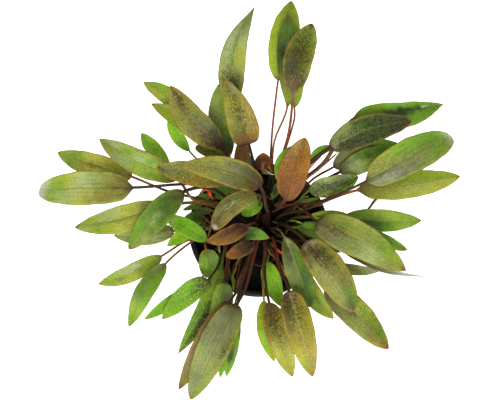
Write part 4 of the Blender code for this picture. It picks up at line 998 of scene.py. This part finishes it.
deadScraps = [
    (((2.7, 23.7, 77), (3.4, 22.9, 77), (4.5, 22.1, 76), (5.4, 21.5, 76), (6.4, 21.5, 75),
     (7.4, 21.9, 74)), (.26, .2, .2, .15), "bone bone bone tan"),
    (((3.7, 25.4, 77), (4.5, 23.7, 76), (5.6, 22.3, 75)), (.75, .3, .3, .2), "brick ochre cocoa"),
    (((1.5, 22.6, 75), (3, 22.1, 75), (4.6, 21.7, 75)), (.8, .2, .3, .2), "moss tan olive"),
    (((-21.3, -.9, 53), (-19.6, .6, 54), (-17.9, 2.2, 54)), (.3, .25, .25, .2), "cocoa tan cocoa"),
    (((-19.8, -3.3, 53), (-19.2, -.9, 54), (-18.3, 1.5, 54), (-17.8, .5, 54)), (.25, .25, .2, .2),
     "cocoa tan wheat"),
    (((-22.4, 1.1, 52), (-20.9, 2.9, 53), (-19.5, 4.6, 53)), (.5, .5, .3, .2), "bark cocoa bark"),
    (((-21.8, 2.6, 52), (-20, 1.1, 52), (-18.8, -1.2, 52)), (.9, .7, .4, .3), "bark bark cocoa"),
    (((-22, 4.9, 52), (-20.4, 4.1, 53), (-19, 2.5, 53)), (.5, .5, .3, .3), "bark cocoa"),
]
emberStubs = [
    (((-20.1, 15.9, 72), (-19.2, 13.9, 73), (-17.8, 11.7, 70)), (.6, .5, .4, .35),
     "ember ember ember brick"),
    (((-22.5, 13.9, 68), (-21.9, 14.9, 70), (-20.9, 15.4, 71), (-20, 15.2, 71)), (.5, .35, .3, .3),
     "brick ember ember"),
    (((-17.4, 9.8, 56), (-16.9, 10.1, 56), (-16.4, 10.4, 56)), (.25, .2, .2, .2), "brick ember"),
    (((-.3, 6.3, 63), (.2, 6.5, 63), (.9, 6.7, 63)), (.5, .45, .35, .35), "brick ember"),
    (((13.8, 9.9, 63), (16.4, 11.2, 64), (18.4, 12.5, 64), (19.7, 12.9, 63)), (.45, .4, .3, .3),
     "wine brick brick biscuit"),
]
strandsPiece("crown_stalks_surface", crownStalks, "brown_olive", 101)
strandsPiece("dead_scraps_surface", deadScraps, "brown_olive", 102)
strandsPiece("red_stubs_surface", emberStubs, "rust", 103)


# The pot: a turned wall, outside and inside, whose grid leaves out the cells of the slots.
pot = {
    "height": 50.0, "rim": 27.5, "rimDrop": 2.6, "bodyTop": 26.2, "bodyFoot": 15.5, "wall": 0.9,
    "floor": 1.2, "slots": 12, "slotWidth": 2.4, "slotFoot": 9.0, "slotTop": 38.0,
    "footRows": (0.0, 0.6, 1.4, 3.0), "middleRows": (16.0, 23.5, 31.0), "highRow": 43.0,
    "footRound": (0.8, 0.2), "turns": 288, "slotTurns": 6, "sharpFrom": 35.0, "weld": 0.01,
    "grainSize": 2600.0, "scuffSize": 520.0, "bloomSize": 110.0, "black": (0.004, 0.004, 0.005, 1),
    "bloomShade": (0.014, 0.015, 0.015, 1), "scuffShade": (0.03, 0.03, 0.032, 1), "bloom": 0.5,
    "scuffs": 0.4, "roughness": 0.42, "bump": 0.06, "specular": 0.35,
}


# The outer radius of the pot's tapered body at a height: a straight blend from foot to top.
def bodyRadius(height):
    top = pot["height"] - pot["rimDrop"]
    return pot["bodyFoot"] + (pot["bodyTop"] - pot["bodyFoot"]) * height / top


# Black moulded plastic, with fine grain, faint scuffs and a dull bloom of dried water.
def potMaterial():
    sheet = Sheet("black_moulded_plastic")
    spot = sheet.object()
    grain = sheet.noise(spot, pot["grainSize"], 2.0)
    stretched = sheet.scaled(spot, (1.0, 1.0, 0.2))
    scuffs = sheet.noise(stretched, pot["scuffSize"], 3.0, 0.8).smooth(0.58, 0.8)
    bloom = sheet.noise(spot, pot["bloomSize"], 4.0).smooth(0.5, 0.8)
    shade = sheet.blend(bloom * pot["bloom"], pot["black"], pot["bloomShade"])
    shade = sheet.blend(scuffs * pot["scuffs"], shade, pot["scuffShade"])
    roughness = pot["roughness"] + bloom * 0.22 + scuffs * 0.12
    return sheet.finish(shade, roughness, grain * 0.4 + scuffs * 0.3, pot["bump"], pot["specular"])


# The pot's profile runs up the outside, over the lip and down the inside, and is turned. The cells of
# the slots are left out of both walls, and their edges are joined through the wall.
def buildPot():
    height, rim, turns, inSlot = pot["height"], pot["rim"], pot["turns"], pot["slotTurns"]
    top = height - pot["rimDrop"]
    mouth = pot["bodyTop"] - pot["wall"]
    perSlot = turns // pot["slots"]
    wallRows = np.array([*pot["footRows"], pot["slotFoot"], *pot["middleRows"], pot["slotTop"],
                         pot["highRow"], top - 0.4, top])
    bodyR = bodyRadius(wallRows)
    bodyR[:2] -= pot["footRound"]
    lip = [(pot["bodyTop"] + 0.5, top + 0.02), (rim - 0.25, top + 0.05), (rim, top + 0.3),
           (rim, height - 0.4), (rim - 0.12, height - 0.12), (rim - 0.4, height),
           (mouth + 0.9, height), (mouth + 0.45, height - 0.1), (mouth + 0.3, height - 0.4)]
    inside = wallRows[::-1]
    profile = [(0.0, 0.0), (pot["bodyFoot"] * 0.5, 0.0), *zip(bodyR, wallRows), *lip]
    innerStart = len(profile)
    profile += [(bodyRadius(h) - pot["wall"], h) for h in inside if h > pot["floor"] + 0.5]
    profile += [(bodyRadius(pot["floor"]) - pot["wall"] - 0.5, pot["floor"]),
                (pot["bodyFoot"] * 0.5, pot["floor"]), (0.0, pot["floor"])]
    profile = np.array(profile)
    ends = np.array([pot["slotFoot"], pot["slotTop"]])[:, None]
    outerFoot, outerTop = 2 + np.argmin(np.abs(wallRows - ends), axis=1)
    innerFoot, innerTop = innerStart + np.argmin(np.abs(inside - ends), axis=1)

    # Angles crowd at each slot's two sides, so that the slot keeps its width at mid height.
    halfSlot = pot["slotWidth"] / 2 / bodyRadius((pot["slotFoot"] + pot["slotTop"]) / 2)
    sector = fullTurn / pot["slots"]
    local = np.concatenate([np.linspace(-halfSlot, halfSlot, inSlot + 1)[:-1],
                            np.linspace(halfSlot, sector - halfSlot, perSlot - inSlot + 1)[:-1]])
    angles = (np.arange(pot["slots"])[:, None] * sector + sector / 2 + local).ravel()
    points = turned(profile[:, 0], profile[:, 1], angles).reshape(-1, 3) * mm
    row = np.arange(len(profile) - 1)[:, None]
    openRow = ((row >= outerFoot) & (row < outerTop)) | ((row >= innerTop) & (row < innerFoot))
    quads = ringFaces(len(profile), turns)[~(openRow & (np.arange(turns) % perSlot < inSlot))]

    # The slots' side, top and bottom walls join the outer rows to the inner ones.
    walls = []
    first = np.arange(pot["slots"]) * perSlot
    outer = np.arange(outerFoot, outerTop)[:, None]
    inner = innerFoot - (outer - outerFoot)
    for column, order in ((first, 1), ((first + inSlot) % turns, -1)):
        corners = [rows * turns + column for rows in (outer, outer + 1, inner - 1, inner)]
        walls.append(np.stack(corners, axis=-1).reshape(-1, 4)[:, ::order])
    column = (first[:, None] + np.arange(inSlot)) % turns
    beside = (column + 1) % turns
    for outerRow, innerRow, order in ((outerFoot, innerFoot, -1), (outerTop, innerTop, 1)):
        corners = [outerRow * turns + column, outerRow * turns + beside,
                   innerRow * turns + beside, innerRow * turns + column]
        walls.append(np.stack(corners, axis=-1).reshape(-1, 4)[:, ::order])
    mesh = bpy.data.meshes.new("pot_surface")
    mesh.from_pydata(points.tolist(), [], np.vstack([quads, *walls]).tolist())
    mesh.materials.append(potMaterial())
    piece = addObject("pot_surface", mesh)
    weld = piece.modifiers.new("weld", "WELD")
    weld.merge_threshold = pot["weld"] * mm
    mesh.shade_smooth()
    mesh.set_sharp_from_angle(angle=math.radians(pot["sharpFrom"]))
    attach(piece, "root")
    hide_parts("pot")
    print("pot made")


buildPot()


# A smooth random field: a sum of plane waves in random directions, with random phases.
def ripples(points, random, wavelength, count=24):
    directions = unit(random.normal(size=(count, 3)))
    lengths = wavelength * random.uniform(0.6, 1.6, count)
    phases = random.uniform(0, fullTurn, count)
    waves = np.sin(points @ (directions * (fullTurn / lengths[:, None])).T + phases)
    return waves.sum(axis=-1) / math.sqrt(count / 2)


medium = {
    "edge": 43.5, "crown": 46.2, "levelRadius": 12.0, "shoulder": (20.0, 44.4), "gap": 0.3, "inset": 0.15,
    "turns": 240, "topRows": 70, "sideRows": 60, "footRows": 12, "pinch": 0.2,
    "lump": 0.35, "lumpSize": 5.0, "grain": 0.14, "grainSize": 1.4, "topRange": (-0.9, 0.25),
    "sideShare": 0.4, "sideRange": (-0.4, 0.0), "clodSize": 420.0, "fibreSize": 1900.0, "stoneSize": 1500.0,
    "black": (0.002, 0.002, 0.002, 1), "brown": (0.010, 0.007, 0.005, 1), "fibre": (0.05, 0.026, 0.014, 1),
    "stone": (0.10, 0.095, 0.085, 1), "roughness": 0.82, "bump": 0.5, "specular": 0.15,
}


# Dark damp growing medium: near black clods, brown fibres and a few pale grains.
def mediumMaterial():
    sheet = Sheet("damp_growing_medium")
    spot = sheet.object()
    clods = sheet.noise(spot, medium["clodSize"], 5.0, 0.6)
    stretched = sheet.scaled(spot, (1.0, 0.3, 1.0))
    fibres = sheet.noise(stretched, medium["fibreSize"], 2.0, 1.5).smooth(0.6, 0.75)
    grains = sheet.noise(spot, medium["stoneSize"], 1.0).smooth(0.72, 0.78)
    shade = sheet.blend(clods.smooth(0.35, 0.7), medium["black"], medium["brown"])
    shade = sheet.blend(fibres * 0.5, shade, medium["fibre"])
    shade = sheet.blend(grains * 0.5, shade, medium["stone"])
    roughness = medium["roughness"] - grains * 0.2 + clods * 0.1
    height = clods + fibres * 0.5 + grains * 0.4
    return sheet.finish(shade, roughness, height, medium["bump"], medium["specular"])


# A turned plug: its top falls from the crown to the pot's wall, its side follows the wall inside the
# gap, and two sizes of ripples raise and sink the surface.
def buildMedium():
    random = np.random.default_rng(7)
    inner = pot["wall"] + medium["gap"]
    base = pot["floor"] + medium["gap"]
    edgeRadius = bodyRadius(medium["edge"]) - inner
    topR = np.linspace(medium["pinch"], edgeRadius - 0.3, medium["topRows"])
    stops = ((0, medium["crown"]), (medium["levelRadius"], medium["crown"] - 0.1), medium["shoulder"],
             (edgeRadius, medium["edge"]))
    topZ = np.interp(topR, *zip(*stops)) - 0.3
    sideZ = np.linspace(medium["edge"] - 0.6, base + 0.4, medium["sideRows"])
    sideR = bodyRadius(sideZ) - inner - medium["inset"]
    footR = np.linspace(sideR[-1] - 0.4, medium["pinch"], medium["footRows"])
    radius = np.concatenate([topR, sideR, footR])
    height = np.concatenate([topZ, sideZ, np.full(len(footR), base + 0.1)])
    grid = turned(radius, height, np.linspace(0, fullTurn, medium["turns"], endpoint=False))
    bumps = (medium["lump"] * ripples(grid, random, medium["lumpSize"])
             + medium["grain"] * ripples(grid, random, medium["grainSize"]))
    onTop = (np.arange(len(radius)) < medium["topRows"])[:, None]
    grid[..., 2] += np.where(onTop, np.clip(bumps, *medium["topRange"]), 0)
    inward = np.where(onTop, 0, np.clip(bumps * medium["sideShare"], *medium["sideRange"]))
    grid[..., :2] *= 1 + (inward / np.maximum(radius, 1)[:, None])[..., None]
    # Its rows run from the top down, so its columns run backwards, for faces that look outwards.
    piece = closedGrid("growing_medium_surface", grid[None, :, ::-1], {}, mediumMaterial())
    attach(piece, "root")
    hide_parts("growing_medium")
    print("growing medium made")


buildMedium()


stem = {
    "place": (3.0, 4.0), "radius": 2.1, "foot": 46.0, "top": 52.0, "rows": 60, "turns": 48, "swell": 0.86,
    "scar": 0.08, "scarRate": 5.2, "roundness": 6, "topShrink": 0.97, "knob": 0.05, "knobSize": 2.0,
    "cloudSize": 500.0, "ringSize": 900.0, "roughness": 0.62, "bump": 0.25, "specular": 0.2,
}


# The stem stub: reddish brown, ringed by leaf scars.
def stemMaterial():
    sheet = Sheet("reddish_brown_stem")
    spot = sheet.object()
    cloud = sheet.noise(spot, stem["cloudSize"], 3.0, 0.5)
    rings = sheet.noise(sheet.scaled(spot, (0.2, 0.2, 1.6)), stem["ringSize"], 2.0)
    shade = sheet.blend(cloud.smooth(0.3, 0.7), colour("soot", 0.8), colour("bark", 0.9))
    shade = sheet.blend(rings.smooth(0.55, 0.7) * 0.6, shade, colour("soot"))
    roughness = stem["roughness"] + cloud * 0.2
    return sheet.finish(shade, roughness, cloud * 0.5 + rings, stem["bump"], stem["specular"])


# A turned stub whose radius swells at each leaf scar, with a knobbly side and a rounded top.
def buildStem():
    random = np.random.default_rng(11)
    rows = np.linspace(0, 1, stem["rows"])
    height = stem["foot"] + (stem["top"] - stem["foot"]) * np.sin(rows * math.pi / 2)
    swell = stem["swell"] + stem["scar"] * np.sin(height * stem["scarRate"])
    radius = stem["radius"] * swell * np.sqrt(1 - rows ** stem["roundness"] * stem["topShrink"])
    grid = turned(radius, height, np.linspace(0, fullTurn, stem["turns"], endpoint=False))
    knobs = 1 + stem["knob"] * np.clip(ripples(grid, random, stem["knobSize"]), -2, 1)
    grid[..., :2] = grid[..., :2] * knobs[..., None] + np.array(stem["place"])
    piece = closedGrid("stem_surface", grid[None], {}, stemMaterial())
    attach(piece, "root")
    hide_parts("stem")
    print("stem made")


buildStem()


# Plain pale floor, so evenly lit that it keeps no dark shadow, and the light: an even pale sky and two
# broad soft lamps above, the strong one towards the near side. Its lengths are metres.
light = {
    "white": (1, 1, 1, 1), "floorTint": (0.9, 0.9, 0.9, 1), "floorSize": 6.0, "floorGlow": 1.0, "sky": 0.42,
    "lamp": 17.0, "lampSize": 0.55, "lampPlace": (-0.12, -0.80, 1.10),
    "fill": 3.0, "fillSize": 1.0, "fillPlace": (0.6, 0.5, 1.2), "aim": (0.0, 0.0, 0.06),
}


# A square floor, a world that a camera ray sees as the white sky and all else as the weaker one, and the
# lamps, whose tilt and turn are the angles of the way from each to the aim.
def buildStage():
    floor = bpy.data.meshes.new("floor")
    reach = light["floorSize"] / 2
    corners = [(-reach, -reach, 0), (reach, -reach, 0), (reach, reach, 0), (-reach, reach, 0)]
    floor.from_pydata(corners, [], [(0, 1, 2, 3)])
    sheet = Sheet("pale_floor")
    values = {"Base Color": light["floorTint"], "Roughness": 0.9, "Emission Color": light["white"],
              "Emission Strength": light["floorGlow"]}
    for key, value in values.items():
        sheet.feed(sheet.shader.inputs[key], value)
    floor.materials.append(sheet.material)
    piece = addObject("floor", floor)
    piece.visible_glossy = False

    world = bpy.data.worlds.new("studio")
    bpy.context.scene.world = world
    world.use_nodes = True
    tree = world.node_tree
    ray = tree.nodes.new("ShaderNodeLightPath")
    chosen = tree.nodes.new("ShaderNodeMixShader")
    skies = (tree.nodes["Background"], tree.nodes.new("ShaderNodeBackground"))
    tree.links.new(ray.outputs["Is Camera Ray"], chosen.inputs[0])
    for sky, strength, socket in zip(skies, (light["sky"], 1.0), chosen.inputs[1:]):
        sky.inputs["Color"].default_value = light["white"]
        sky.inputs["Strength"].default_value = strength
        tree.links.new(sky.outputs[0], socket)
    tree.links.new(chosen.outputs[0], tree.nodes["World Output"].inputs["Surface"])

    for name in ("lamp", "fill"):
        lamp = bpy.data.lights.new(name, "AREA")
        lamp.energy = light[name]
        lamp.size = light[name + "Size"]
        holder = addObject(name, lamp)
        holder.location = light[name + "Place"]
        x, y, z = np.array(light["aim"]) - light[name + "Place"]
        holder.rotation_euler = (math.atan2(math.hypot(x, y), -z), 0, math.atan2(y, x) - math.pi / 2)


# The camera stands at the eye and looks straight ahead, at the scale that the plan was measured in.
def buildCamera():
    lens = bpy.data.cameras.new("camera")
    lens.sensor_width = view["sensor"]
    lens.lens = view["distance"] / view["mmPerPixel"] / view["imageWidth"] * view["sensor"]
    lens.clip_start = view["nearest"] * mm
    camera = addObject("camera", lens)
    camera.location = eye * mm
    camera.rotation_euler = (view["tilt"], 0, 0)
    bpy.context.scene.camera = camera
    bpy.context.scene.view_settings.view_transform = "Standard"


buildStage()
buildCamera()
print("stage and camera made")
